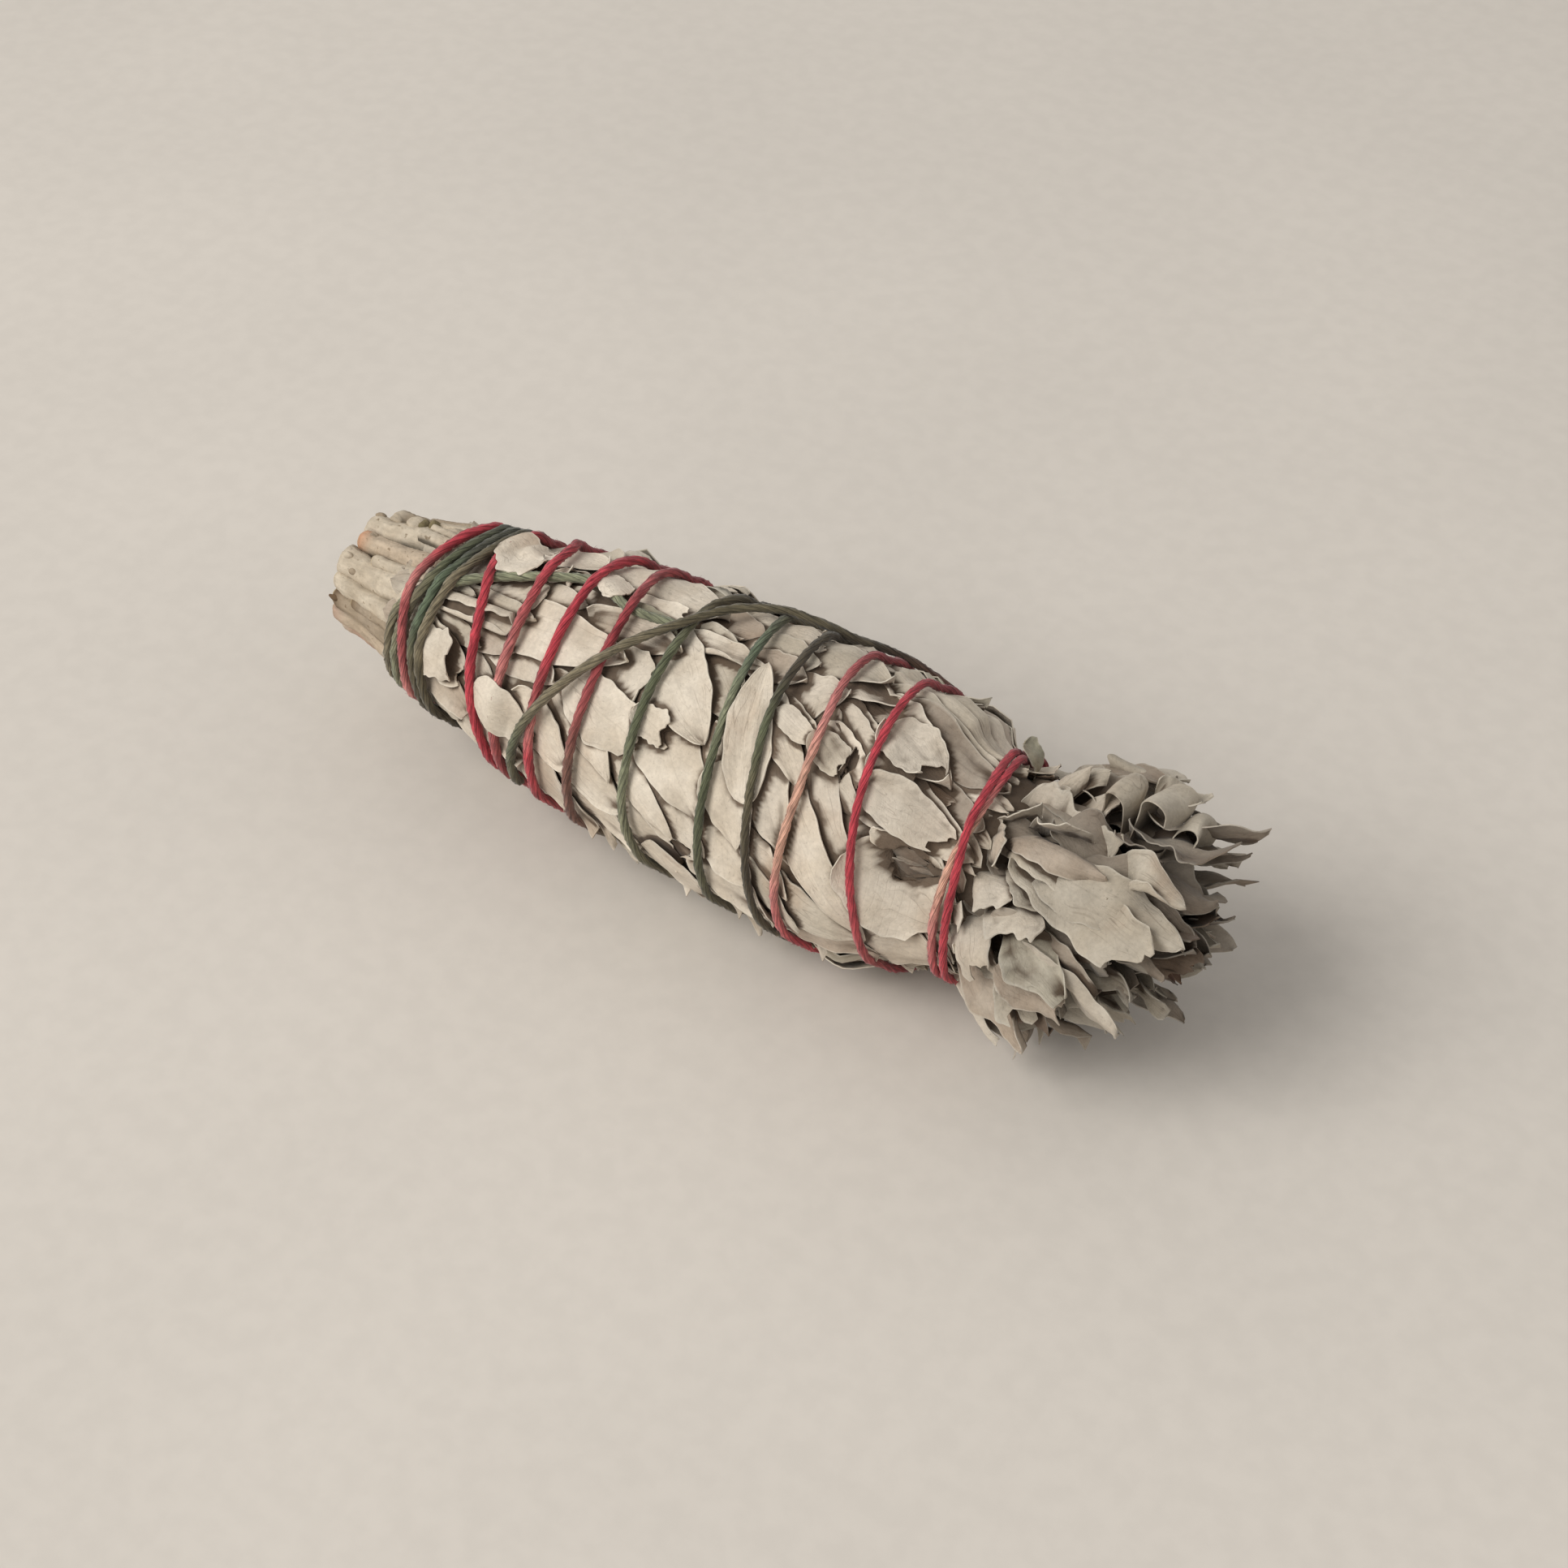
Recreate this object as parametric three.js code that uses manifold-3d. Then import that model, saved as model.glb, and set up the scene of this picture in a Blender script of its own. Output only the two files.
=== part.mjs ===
// A bunch of dried white sage, tied along its length with one thread and lying on its side.
// Millimetres and degrees. +Z is up, +X runs along the bundle from the cut stems to the leaf tips,
// and the bunch rests on z = 0. An angle round the bundle is 0 on the -Y side and 90 on top.
import * as THREE from "three";
import { mergeVertices } from "three/addons/utils/BufferGeometryUtils.js";
import Module from "manifold-3d";

const wasm = await Module();
wasm.setup();

// Driving dimensions of the bundle.
const AXIS_HEIGHT = 21; // middle of the bundle over the surface
const BUTT_END = -75.2; // cut end of the longest stem
const TIP_END = 75.2; // end of the longest tip leaf
const CLEARANCE = 0.3; // between two pieces that touch

// Outline of the bundle, as [station along it, radius over the leaves].
const OUTLINE = [
  [-75, 9.5], [-66, 10.3], [-59, 12.2], [-52, 14.5], [-44, 16.2], [-36, 17.9],
  [-27, 19.4], [-18, 20.4], [1, 21.4], [20, 21.6], [31, 19.8], [37.5, 17.2],
  [44.5, 16.9], [50, 20.3], [55, 21.8], [63, 21], [75, 18.5],
];

// Outline of the packed inner leaves, between the stems and the flared tip.
const CORE_OUTLINE = [
  [-58, 11.4], [-52, 13.4], [-46, 14.5], [-43, 14.1], [-36, 15.7], [-27, 17.2],
  [-18, 18.2], [1, 19.2], [20, 19.4], [31, 17.4], [37.2, 14.8], [39.2, 15.4],
  [44, 15.6], [49, 14], [53, 11.5],
];
const CORE_RINGS = 38;
const CORE_SIDES = 24;
const FOOT_FROM = -14; // the stretch pressed flat on the surface while the bunch dried
const FOOT_TO = 30;
const FOOT_HALF_WIDTH = 5.6;

// The cut stems, as rings of [how many, distance from the axis, first angle].
const STEM_RINGS = [
  [1, 0, 0],
  [5, 4.3, 20],
  [8, 8.2, 2],
];
const STEM_RADII = [1.6, 1.35, 1.75, 1.2, 1.5];
const STEM_SETBACKS = [0.6, 2.4, 0, 3.6, 1.4, 2.9, 4.6];
const STEM_INNER_END = -40;
const STEM_SPREAD = 0.16; // how much further from the axis the inner ends are
const STEM_SIDES = 8;

// Rows of body leaves, as [first station, last station, how many, first angle, step].
const LEAF_ROWS = [
  [-43.5, -17.5, 9, -90, 40],
  [-16, 11, 8, -44, 36],
  [12.5, 36.5, 8, -44, 36],
];
const LEAF_HALF_ANGLE = 15.5;
const LEAF_THICKNESS = 0.8;
const LEAF_DEPTH = 1.25; // middle of a leaf under the bundle's outline

// The flared tip: an outer ring of broad leaves and an inner ring of longer ones.
const OUTER_TIPS = 9;
const OUTER_TIP_START = 45.2;
const INNER_TIPS = 6;
const INNER_TIP_START = 53.6;
const INNER_TIP_RADIUS = 11;
const TIP_THICKNESS = 0.9;
const BUD_RADIUS = 3.2;
const BUD_END = 69;

// The binding thread, one length, wound on with the angle falling along it.
const THREAD_RADIUS = 0.6;
const THREAD_RIDE = 0.4; // its middle over the bundle's outline
const THREAD_LOWEST = 0.75; // its middle over the surface, where it passes underneath
const THREAD_STEPS = 470;
const THREAD_SIDES = 6;

// Each turn is a list of [angle, station, lift over the leaves], down the front and round the back.
// A lift of about 1.4 carries the thread over a turn that was wound before it.
const THREAD_TURNS = [
  [[81, -9.6, 0], [80, -17.7, 0], [86, -25.5, 0], [79, -34, 0], [70, -41.5, 0], [62, -46, 0],
    [53, -50.5, 0], [42, -53.2, 0], [28, -54.6, 0], [5, -55, 0], [-30, -55.4, 0],
    [-105, -53.8, 0], [-150, -51.6, 0], [-195, -48.6, 0]],
  [[120, -46.8, 0], [90, -48, 0], [70, -49, 0.9], [57, -49.8, 1.5], [47, -50.8, 1], [34, -52.2, 0],
    [22, -52.8, 0], [5, -53.2, 0], [-30, -53.3, 0], [-105, -52.2, 0.3], [-150, -51.2, 1.4],
    [-195, -50, 1.4]],
  [[120, -48.6, 0.2], [90, -51, 0], [68, -52.2, 0.7], [55, -52.6, 1.4], [43, -52.1, 1.9],
    [25, -51.3, 1], [5, -51.1, 0], [-30, -50.6, 0], [-105, -49.2, 0], [-185, -47.4, 0]],
  [[120, -45.2, 0], [90, -46, 0], [70, -47, 0.9], [60, -47.9, 1.4], [47, -48.7, 0.5],
    [25, -49.5, 0], [5, -48.8, 0], [-30, -47.4, 0], [-105, -46.6, 0], [-185, -45, 0]],
  [[120, -43.4, 0], [90, -44.4, 0], [72, -45.2, 0.9], [62, -46, 1.4], [48, -46.9, 0.5],
    [25, -47.9, 0], [5, -47.2, 0], [-30, -45.6, 0], [-105, -44.8, 0], [-185, -43.2, 0]],
  [[120, -41.6, 0], [94, -42.4, 0], [81, -42, 0.6], [70, -40.7, 1.4], [57, -39.3, 0.6],
    [40, -37.9, 0], [20, -36.5, 0], [0, -34.6, 0], [-35, -31.9, 0], [-105, -32.2, 0], [-185, -34, 0]],
  [[120, -35, 0], [100, -33.4, 0.5], [82, -32.5, 1.4], [66, -32, 0.6], [45, -31.6, 0],
    [20, -31.3, 0], [-5, -30.8, 0], [-35, -29.8, 0], [-105, -27.8, 0], [-185, -25, 0]],
  [[120, -23.5, 0], [100, -24.8, 0.6], [85, -24.9, 1.4], [68, -24.8, 0.6], [45, -24.4, 0],
    [20, -24.1, 0], [-5, -23.7, 0], [-38, -23.2, 0], [-105, -21.4, 0], [-185, -19.2, 0]],
  [[120, -17.6, 0], [102, -18.3, 0.5], [83, -17.2, 1.4], [66, -16.6, 0.6], [45, -16.3, 0],
    [20, -16.4, 0], [-5, -16.6, 0], [-38, -16.7, 0], [-105, -13.4, 0], [-185, -8.6, 0]],
  [[120, -6.2, 0], [97, -8, 0], [75, -7.9, 0], [50, -7.5, 0], [25, -6.9, 0], [0, -6.2, 0],
    [-35, -3.2, 0], [-105, -1.6, 0], [-185, 0, 0]],
  [[115, 1.2, 0], [90, 2.2, 0], [68, 3.6, 0], [45, 5.2, 0], [22, 6.2, 0], [-2, 6.9, 0],
    [-35, 8, 0], [-105, 8.2, 0], [-185, 8, 0]],
  [[115, 8.2, 0], [90, 8.8, 0], [65, 10, 0], [40, 12.3, 0], [15, 14.2, 0], [-8, 15.7, 0],
    [-38, 17.6, 0], [-105, 17, 0], [-185, 15.8, 0]],
  [[118, 15.4, 0], [92, 15.8, 0], [68, 17.6, 0], [45, 18.9, 0], [20, 19.2, 0], [-5, 19.5, 0],
    [-35, 21.2, 0], [-105, 22.6, 0], [-185, 23.8, 0]],
  [[122, 23.9, 0], [98, 24.1, 0], [75, 25.2, 0], [50, 26.9, 0], [25, 29.1, 0], [0, 31.2, 0],
    [-38, 33, 0], [-105, 35.2, 0], [-185, 38, 0]],
  [[120, 39.9, 0], [95, 41, 0], [70, 40.9, 0], [45, 40.2, 0], [20, 39.8, 0], [-8, 40.2, 0],
    [-40, 40.6, 0], [-105, 40.4, 0.3], [-165, 39.6, 1.4], [-210, 38.4, 1.4]],
  [[125, 38.2, 0.6], [102, 39.2, 0.2], [84, 39.6, 0.8], [62, 40.7, 1.5], [44, 41.8, 0.6],
    [25, 42.4, 0], [0, 42.8, 0], [-35, 42.9, 0], [-70, 42.4, 0.9], [-95, 41, 1.6], [-135, 35, 1.5],
    [-185, 26.5, 1.5]],
  [[128, 16.2, 1.5], [117, 9.4, 1.5], [108, 1.2, 1.5], [97, -4.2, 1.5], [80, -8.9, 1.5],
    [62, -14.4, 1.8], [45, -19.2, 1.5], [30, -22.7, 1.6], [16, -25.2, 1.3], [-2, -27.4, 0.3],
    [-24, -28, 0]],
];

const COLOURS = {
  leaf: 0xc8bfae,
  inside: 0xa79e8c,
  stem: 0xb3a48c,
  bud: 0x9a7d55,
  thread: 0xa8434f,
};

// The value at x of a smooth curve through a table of [x, value].
function smoothTable(table, x) {
  const last = table.length - 1;
  let i = 0;
  while (i < last - 1 && x > table[i + 1][0]) i += 1;
  const slope = (a, b) => (table[b][1] - table[a][1]) / (table[b][0] - table[a][0]);
  const start = slope(Math.max(i - 1, 0), i + 1);
  const end = slope(i, Math.min(i + 2, last));
  const width = table[i + 1][0] - table[i][0];
  const t = THREE.MathUtils.clamp((x - table[i][0]) / width, 0, 1);
  const rise = t * t * (3 - 2 * t);
  return (
    table[i][1] * (1 - rise) +
    table[i + 1][1] * rise +
    width * t * (1 - t) * ((1 - t) * start - t * end)
  );
}

// The point at a station, an angle and a distance from the bundle's axis.
function onBundle(station, degrees, radius) {
  const angle = THREE.MathUtils.degToRad(degrees);
  return new THREE.Vector3(
    station,
    -radius * Math.cos(angle),
    AXIS_HEIGHT + radius * Math.sin(angle),
  );
}

// Moves each vertex of a geometry to where the function says.
function reshape(geometry, move) {
  const position = geometry.getAttribute("position");
  const vertex = new THREE.Vector3();
  for (let i = 0; i < position.count; i += 1) {
    vertex.fromBufferAttribute(position, i);
    const moved = move(vertex);
    position.setXYZ(i, moved.x, moved.y, moved.z);
  }
  return geometry;
}

// Only the places of a geometry's corners, with the shared ones merged and no collapsed faces.
function weld(geometry) {
  const bare = new THREE.BufferGeometry();
  bare.setAttribute("position", geometry.getAttribute("position"));
  if (geometry.index) bare.setIndex(geometry.index);
  const merged = mergeVertices(bare, 1e-4);
  const kept = [];
  const corners = merged.index.array;
  for (let i = 0; i < corners.length; i += 3) {
    const [a, b, c] = corners.slice(i, i + 3);
    if (a !== b && b !== c && c !== a) kept.push(a, b, c);
  }
  merged.setIndex(kept);
  return merged;
}

function solidOf(geometry) {
  const welded = weld(geometry);
  return new wasm.Manifold(
    new wasm.Mesh({
      numProp: 3,
      vertProperties: new Float32Array(welded.getAttribute("position").array),
      triVerts: new Uint32Array(welded.index.array),
    }),
  );
}

function geometryOf(solid) {
  const mesh = solid.getMesh();
  const geometry = new THREE.BufferGeometry();
  geometry.setAttribute("position", new THREE.BufferAttribute(mesh.vertProperties, 3));
  geometry.setIndex(new THREE.BufferAttribute(mesh.triVerts, 1));
  geometry.computeVertexNormals();
  return geometry;
}

// A rod of the given number of sides along a curve.
function rodAlong(curve, radius, sides, steps) {
  const section = new THREE.Shape();
  for (let i = 0; i < sides; i += 1) {
    const angle = (2 * Math.PI * i) / sides;
    const x = radius * Math.cos(angle);
    const y = radius * Math.sin(angle);
    if (i === 0) section.moveTo(x, y);
    else section.lineTo(x, y);
  }
  return new THREE.ExtrudeGeometry(section, { steps, extrudePath: curve, bevelEnabled: false });
}

// Where each stem lies, as its place in the butt end and its cut end's station.
function stemPlaces() {
  const places = [];
  for (const [count, distance, firstAngle] of STEM_RINGS) {
    for (let i = 0; i < count; i += 1) {
      const number = places.length;
      places.push({
        degrees: firstAngle + (360 * i) / count,
        distance,
        radius: STEM_RADII[number % STEM_RADII.length],
        cutEnd: BUTT_END + STEM_SETBACKS[(number + 3) % STEM_SETBACKS.length],
      });
    }
  }
  return places;
}

// The straight line of a stem between two stations: stems spread slightly towards the leaves.
function stemRun(place, from, to) {
  const at = (station) => {
    const share = (station - BUTT_END) / (STEM_INNER_END - BUTT_END);
    return onBundle(station, place.degrees, place.distance * (1 + STEM_SPREAD * share));
  };
  return new THREE.LineCurve3(at(from), at(to));
}

function stem(place) {
  const run = stemRun(place, place.cutEnd, STEM_INNER_END - CLEARANCE);
  return weld(rodAlong(run, place.radius, STEM_SIDES, 1));
}

function stemTunnel(place) {
  const run = stemRun(place, BUTT_END - 1, STEM_INNER_END);
  return solidOf(rodAlong(run, place.radius + CLEARANCE, STEM_SIDES, 1));
}

// The route of the thread as a curve, worked out from the turns.
class ThreadRoute extends THREE.Curve {
  constructor() {
    super();
    this.keys = THREAD_TURNS.flatMap((turn, count) =>
      turn.map(([degrees, station, lift]) => new THREE.Vector3(degrees - 360 * count, station, lift)),
    );
  }

  getPoint(t) {
    const last = this.keys.length - 1;
    const place = t * last;
    const i = Math.min(Math.floor(place), last - 1);
    const before = this.keys[Math.max(i - 1, 0)];
    const from = this.keys[i];
    const to = this.keys[i + 1];
    const after = this.keys[Math.min(i + 2, last)];
    const s = place - i;
    const blend = (axis) => {
      const start = (to[axis] - before[axis]) / 2;
      const end = (after[axis] - from[axis]) / 2;
      const rise = s * s * (3 - 2 * s);
      const bow = s * (1 - s) * ((1 - s) * start - s * end);
      return from[axis] * (1 - rise) + to[axis] * rise + bow;
    };
    const station = blend("y");
    const lift = Math.max(blend("z"), 0);
    const radius = smoothTable(OUTLINE, station) + THREAD_RIDE + lift;
    const point = onBundle(station, blend("x"), radius);
    point.z = Math.max(point.z, THREAD_LOWEST);
    return point;
  }
}

const threadRoute = new ThreadRoute();
threadRoute.arcLengthDivisions = 4000;

function thread(radius) {
  return weld(rodAlong(threadRoute, radius, THREAD_SIDES, THREAD_STEPS));
}

// The packed inner leaves, with the pressed foot, the stems' tunnels and the grooves of the thread.
function packedLeaves(places) {
  const profile = [new THREE.Vector2(0, CORE_OUTLINE[0][0])];
  const last = CORE_OUTLINE.length - 1;
  for (let i = 0; i <= CORE_RINGS; i += 1) {
    const station = THREE.MathUtils.lerp(CORE_OUTLINE[0][0], CORE_OUTLINE[last][0], i / CORE_RINGS);
    profile.push(new THREE.Vector2(smoothTable(CORE_OUTLINE, station), station));
  }
  profile.push(new THREE.Vector2(0, CORE_OUTLINE[last][0]));
  const turned = new THREE.LatheGeometry(profile, CORE_SIDES);
  const laid = reshape(turned, (v) => new THREE.Vector3(v.y, -v.x, AXIS_HEIGHT + v.z));
  const pressed = reshape(laid, (v) => {
    const inFoot = v.x > FOOT_FROM && v.x < FOOT_TO && Math.abs(v.y) < FOOT_HALF_WIDTH;
    if (inFoot && v.z < AXIS_HEIGHT - 10) v.z = 0;
    return v;
  });
  let solid = solidOf(pressed);
  for (const place of places) solid = solid.subtract(stemTunnel(place));
  return geometryOf(solid.subtract(solidOf(thread(THREAD_RADIUS + CLEARANCE))));
}

// How broad a leaf is at a share of its length, from 0 at the stalk to 1 at the tip.
function leafBreadth(share) {
  return 0.12 + 0.88 * Math.pow(Math.sin(Math.PI * Math.pow(share, 0.85)), 0.7);
}

// A thin leaf bent round the bundle, from a plate whose sides are drawn in towards both ends.
function bentLeaf(from, to, degrees, halfAngle, thickness, radiusAt) {
  const plate = new THREE.BoxGeometry(1, 1, 1, 7, 3, 1);
  return weld(
    reshape(plate, (v) => {
      const share = v.x + 0.5;
      const station = THREE.MathUtils.lerp(from, to, share);
      const across = 2 * v.y * halfAngle * leafBreadth(Math.min(share, 0.985));
      const place = onBundle(station, degrees + across, radiusAt(share, station));
      place.z = Math.max(place.z, 0.3 + thickness / 2);
      const outward = onBundle(0, degrees + across, 1).sub(new THREE.Vector3(0, 0, AXIS_HEIGHT));
      return place.addScaledVector(outward, v.z * thickness);
    }),
  );
}

function bodyLeaf(from, to, degrees) {
  const radiusAt = (share, station) => smoothTable(OUTLINE, station) - LEAF_DEPTH;
  return bentLeaf(from, to, degrees, LEAF_HALF_ANGLE, LEAF_THICKNESS, radiusAt);
}

// The outer tip leaves reach furthest on top and least underneath.
function outerTipLeaf(degrees) {
  const reach = 65 + 6.5 * Math.sin(THREE.MathUtils.degToRad(degrees));
  const radiusAt = (share, station) => smoothTable(OUTLINE, station) - 0.3 - 0.6 * (1 - share);
  return bentLeaf(OUTER_TIP_START, reach, degrees, 17, TIP_THICKNESS, radiusAt);
}

function innerTipLeaf(degrees, end) {
  const radiusAt = (share) => INNER_TIP_RADIUS + 1.5 * Math.sin(Math.PI * share);
  return bentLeaf(INNER_TIP_START, end, degrees, 24, TIP_THICKNESS, radiusAt);
}

function tipBud() {
  const profile = [];
  const rings = 8;
  for (let i = 0; i <= rings; i += 1) {
    const share = i / rings;
    const station = THREE.MathUtils.lerp(INNER_TIP_START, BUD_END, share);
    profile.push(new THREE.Vector2(BUD_RADIUS * Math.sin(Math.PI * share), station));
  }
  profile[0].x = 0;
  profile[rings].x = 0;
  const turned = new THREE.LatheGeometry(profile, 10);
  return weld(reshape(turned, (v) => new THREE.Vector3(v.y, -v.x, AXIS_HEIGHT + v.z)));
}

const bunch = new THREE.Group();

function addPiece(name, geometry, colour) {
  const material = new THREE.MeshStandardMaterial({ color: colour, roughness: 0.9, metalness: 0 });
  const mesh = new THREE.Mesh(geometry, material);
  mesh.name = name;
  bunch.add(mesh);
}

const numbered = (name, number) => `${name}_${String(number).padStart(2, "0")}`;

const places = stemPlaces();
addPiece("packed_leaves", packedLeaves(places), COLOURS.inside);
places.forEach((place, i) => addPiece(numbered("stem", i + 1), stem(place), COLOURS.stem));

let bodyLeaves = 0;
for (const [from, to, count, firstAngle, step] of LEAF_ROWS) {
  for (let i = 0; i < count; i += 1) {
    bodyLeaves += 1;
    const leaf = bodyLeaf(from, to, firstAngle + i * step);
    addPiece(numbered("body_leaf", bodyLeaves), leaf, COLOURS.leaf);
  }
}

for (let i = 0; i < OUTER_TIPS; i += 1) {
  const leaf = outerTipLeaf(-90 + (360 * i) / OUTER_TIPS);
  addPiece(numbered("outer_tip_leaf", i + 1), leaf, COLOURS.leaf);
}

for (let i = 0; i < INNER_TIPS; i += 1) {
  const end = TIP_END - 1.3 * (i % 3);
  const leaf = innerTipLeaf(-60 + (360 * i) / INNER_TIPS, end);
  addPiece(numbered("inner_tip_leaf", i + 1), leaf, COLOURS.leaf);
}

addPiece("tip_bud", tipBud(), COLOURS.bud);
addPiece("binding_thread", thread(THREAD_RADIUS), COLOURS.thread);

export default bunch;
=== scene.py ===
# A bunch of dried white sage, wound with one length of dyed cotton thread, lying on a pale table.
# Sizes are in millimetres until a mesh is finished, when they become metres. A place on the bundle is a
# station along it, from the middle towards the tips, and an angle round it: 0 in front, 90 on top.
import math
import random

import bmesh
import bpy
import numpy as np
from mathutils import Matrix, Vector


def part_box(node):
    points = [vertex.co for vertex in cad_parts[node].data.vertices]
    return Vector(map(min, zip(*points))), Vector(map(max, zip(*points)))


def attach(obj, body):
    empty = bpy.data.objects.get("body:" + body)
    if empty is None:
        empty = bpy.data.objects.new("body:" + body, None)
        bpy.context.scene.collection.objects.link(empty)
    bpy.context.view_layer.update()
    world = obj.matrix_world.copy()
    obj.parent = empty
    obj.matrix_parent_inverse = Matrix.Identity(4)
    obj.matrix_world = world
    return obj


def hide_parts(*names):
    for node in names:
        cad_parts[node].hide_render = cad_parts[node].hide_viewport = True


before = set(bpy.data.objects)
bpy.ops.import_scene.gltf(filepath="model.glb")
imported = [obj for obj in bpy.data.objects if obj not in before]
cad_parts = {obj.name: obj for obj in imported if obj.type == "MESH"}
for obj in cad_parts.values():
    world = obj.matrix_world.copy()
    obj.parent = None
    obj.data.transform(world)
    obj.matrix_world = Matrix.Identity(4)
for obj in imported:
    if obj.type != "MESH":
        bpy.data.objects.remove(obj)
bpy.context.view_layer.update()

millimetre = 0.001
perRadian = 57.3
print("frame loaded with", len(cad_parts), "nodes")


def srgb(red, green, blue):  # a colour as a picker shows it, made linear
    def linear(part):
        part = part / 255
        return part / 12.92 if part <= 0.04045 else ((part + 0.055) / 1.055) ** 2.4
    return (linear(red), linear(green), linear(blue), 1.0)


def smoothTable(table, x):  # a smooth curve through a short list of [place, value]
    xs = np.array([row[0] for row in table], float)
    ys = np.array([row[1] for row in table], float)
    x = np.clip(x, xs[0], xs[-1])
    last = len(xs) - 1
    i = np.clip(np.searchsorted(xs, x, side="right") - 1, 0, last - 1)
    before = np.maximum(i - 1, 0)
    after = np.minimum(i + 2, last)
    start = (ys[i + 1] - ys[before]) / (xs[i + 1] - xs[before])
    end = (ys[after] - ys[i]) / (xs[after] - xs[i])
    width = xs[i + 1] - xs[i]
    t = (x - xs[i]) / width
    rise = t * t * (3 - 2 * t)
    bow = width * t * (1 - t) * ((1 - t) * start - t * end)
    return ys[i] * (1 - rise) + ys[i + 1] * rise + bow


def smoothStep(low, high, x):
    t = np.clip((x - low) / (high - low), 0, 1)
    return t * t * (3 - 2 * t)


# What every mesh and object shares.
def addObject(name, data):
    thing = bpy.data.objects.new(name, data)
    bpy.context.scene.collection.objects.link(thing)
    return thing


def startMesh(colourLayer, uvLayer):
    mesh = bmesh.new()
    mesh.verts.layers.float_color.new(colourLayer)
    mesh.loops.layers.uv.new(uvLayer)
    return mesh


def addGrid(mesh, steps, rows):  # a flat grid's vertices, each with its step and row
    made = bmesh.ops.create_grid(mesh, x_segments=steps, y_segments=rows, size=1, calc_uvs=True)
    return [
        (vert, round((vert.co.x + 1) / 2 * steps), round((vert.co.y + 1) / 2 * rows))
        for vert in made["verts"]
    ]


def closeSeams(mesh, distance):
    bmesh.ops.remove_doubles(mesh, verts=mesh.verts, dist=distance * millimetre)
    bmesh.ops.recalc_face_normals(mesh, faces=mesh.faces)


def meshObject(name, mesh, material):
    for face in mesh.faces:
        face.smooth = True
    data = bpy.data.meshes.new(name)
    mesh.to_mesh(data)
    mesh.free()
    data.materials.append(material)
    return addObject(name, data)


def finishPiece(piece, slot, *nodes):
    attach(piece, "root")
    if nodes:
        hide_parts(*nodes)


# Camera, table and light.
setting = {
    "aim": (7.6, -2.7, 21.0),
    "distance": 379.7,
    "azimuth": 35.0,
    "elevation": 44.0,
    "fieldOfView": 32.0,
    "sensorWidth": 36.0,
    "nearest": 10.0,
    "farthest": 20000.0,
    "tableSize": 6000.0,
    "tableColour": srgb(214, 207, 198),
    "skyColour": (1.0, 0.985, 0.965, 1.0),
    "skyStrength": 0.50,
    "windowPlace": (-660, -1140, 1350),
    "windowAim": (0, 0, 10),
    "windowSize": 1150.0,
    "windowPower": 25.0,
    "windowColour": (1.0, 0.985, 0.955),
}


def lookAlong(thing, direction):
    thing.rotation_mode = "QUATERNION"
    thing.rotation_quaternion = direction.to_track_quat("-Z", "Y")


def makeCamera():
    azimuth = math.radians(setting["azimuth"])
    elevation = math.radians(setting["elevation"])
    back = Vector((
        math.sin(azimuth) * math.cos(elevation),
        -math.cos(azimuth) * math.cos(elevation),
        math.sin(elevation),
    ))
    data = bpy.data.cameras.new("camera")
    data.sensor_width = setting["sensorWidth"]
    data.lens = data.sensor_width / 2 / math.tan(math.radians(setting["fieldOfView"]) / 2)
    data.clip_start = setting["nearest"] * millimetre
    data.clip_end = setting["farthest"] * millimetre
    camera = addObject("camera", data)
    camera.location = (Vector(setting["aim"]) + back * setting["distance"]) * millimetre
    lookAlong(camera, -back)
    bpy.context.scene.camera = camera


def makeLight():
    data = bpy.data.lights.new("window", "AREA")
    data.shape = "SQUARE"
    data.size = setting["windowSize"] * millimetre
    data.energy = setting["windowPower"]
    data.color = setting["windowColour"]
    window = addObject("window", data)
    window.location = Vector(setting["windowPlace"]) * millimetre
    lookAlong(window, Vector(setting["windowAim"]) * millimetre - window.location)
    world = bpy.data.worlds.new("room")
    world.use_nodes = True
    sky = world.node_tree.nodes["Background"]
    sky.inputs["Color"].default_value = setting["skyColour"]
    sky.inputs["Strength"].default_value = setting["skyStrength"]
    bpy.context.scene.world = world
    bpy.context.scene.view_settings.view_transform = "Standard"


makeCamera()
makeLight()
print("camera and light made")


def wire(tree, kind, values=None, **settings):
    node = tree.nodes.new(kind)
    for name, value in settings.items():
        setattr(node, name, value)
    for name, value in (values or {}).items():
        if isinstance(value, bpy.types.NodeSocket):
            tree.links.new(value, node.inputs[name])
        else:
            node.inputs[name].default_value = value
    return node


def mixColours(tree, factor, first, second, blend="MIX"):
    node = wire(tree, "ShaderNodeMix", {0: factor, 6: first, 7: second}, data_type="RGBA", blend_type=blend)
    return node.outputs[2]


def calculate(tree, operation, first, second=0.0, third=0.0):
    node = wire(tree, "ShaderNodeMath", {0: first, 1: second, 2: third}, operation=operation)
    return node.outputs[0]


def times(tree, first, second):
    return calculate(tree, "MULTIPLY", first, second)


def noise(tree, vector, scale, detail, roughness=0.5):
    values = {"Vector": vector, "Scale": scale, "Detail": detail, "Roughness": roughness}
    return wire(tree, "ShaderNodeTexNoise", values).outputs[0]


def spreadOut(tree, value, fromLow, fromHigh, toLow=0.0, toHigh=1.0):
    node = wire(tree, "ShaderNodeMapRange", {
        "Value": value, "From Min": fromLow, "From Max": fromHigh, "To Min": toLow, "To Max": toHigh,
    }, interpolation_type="SMOOTHSTEP")
    return node.outputs[0]


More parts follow.
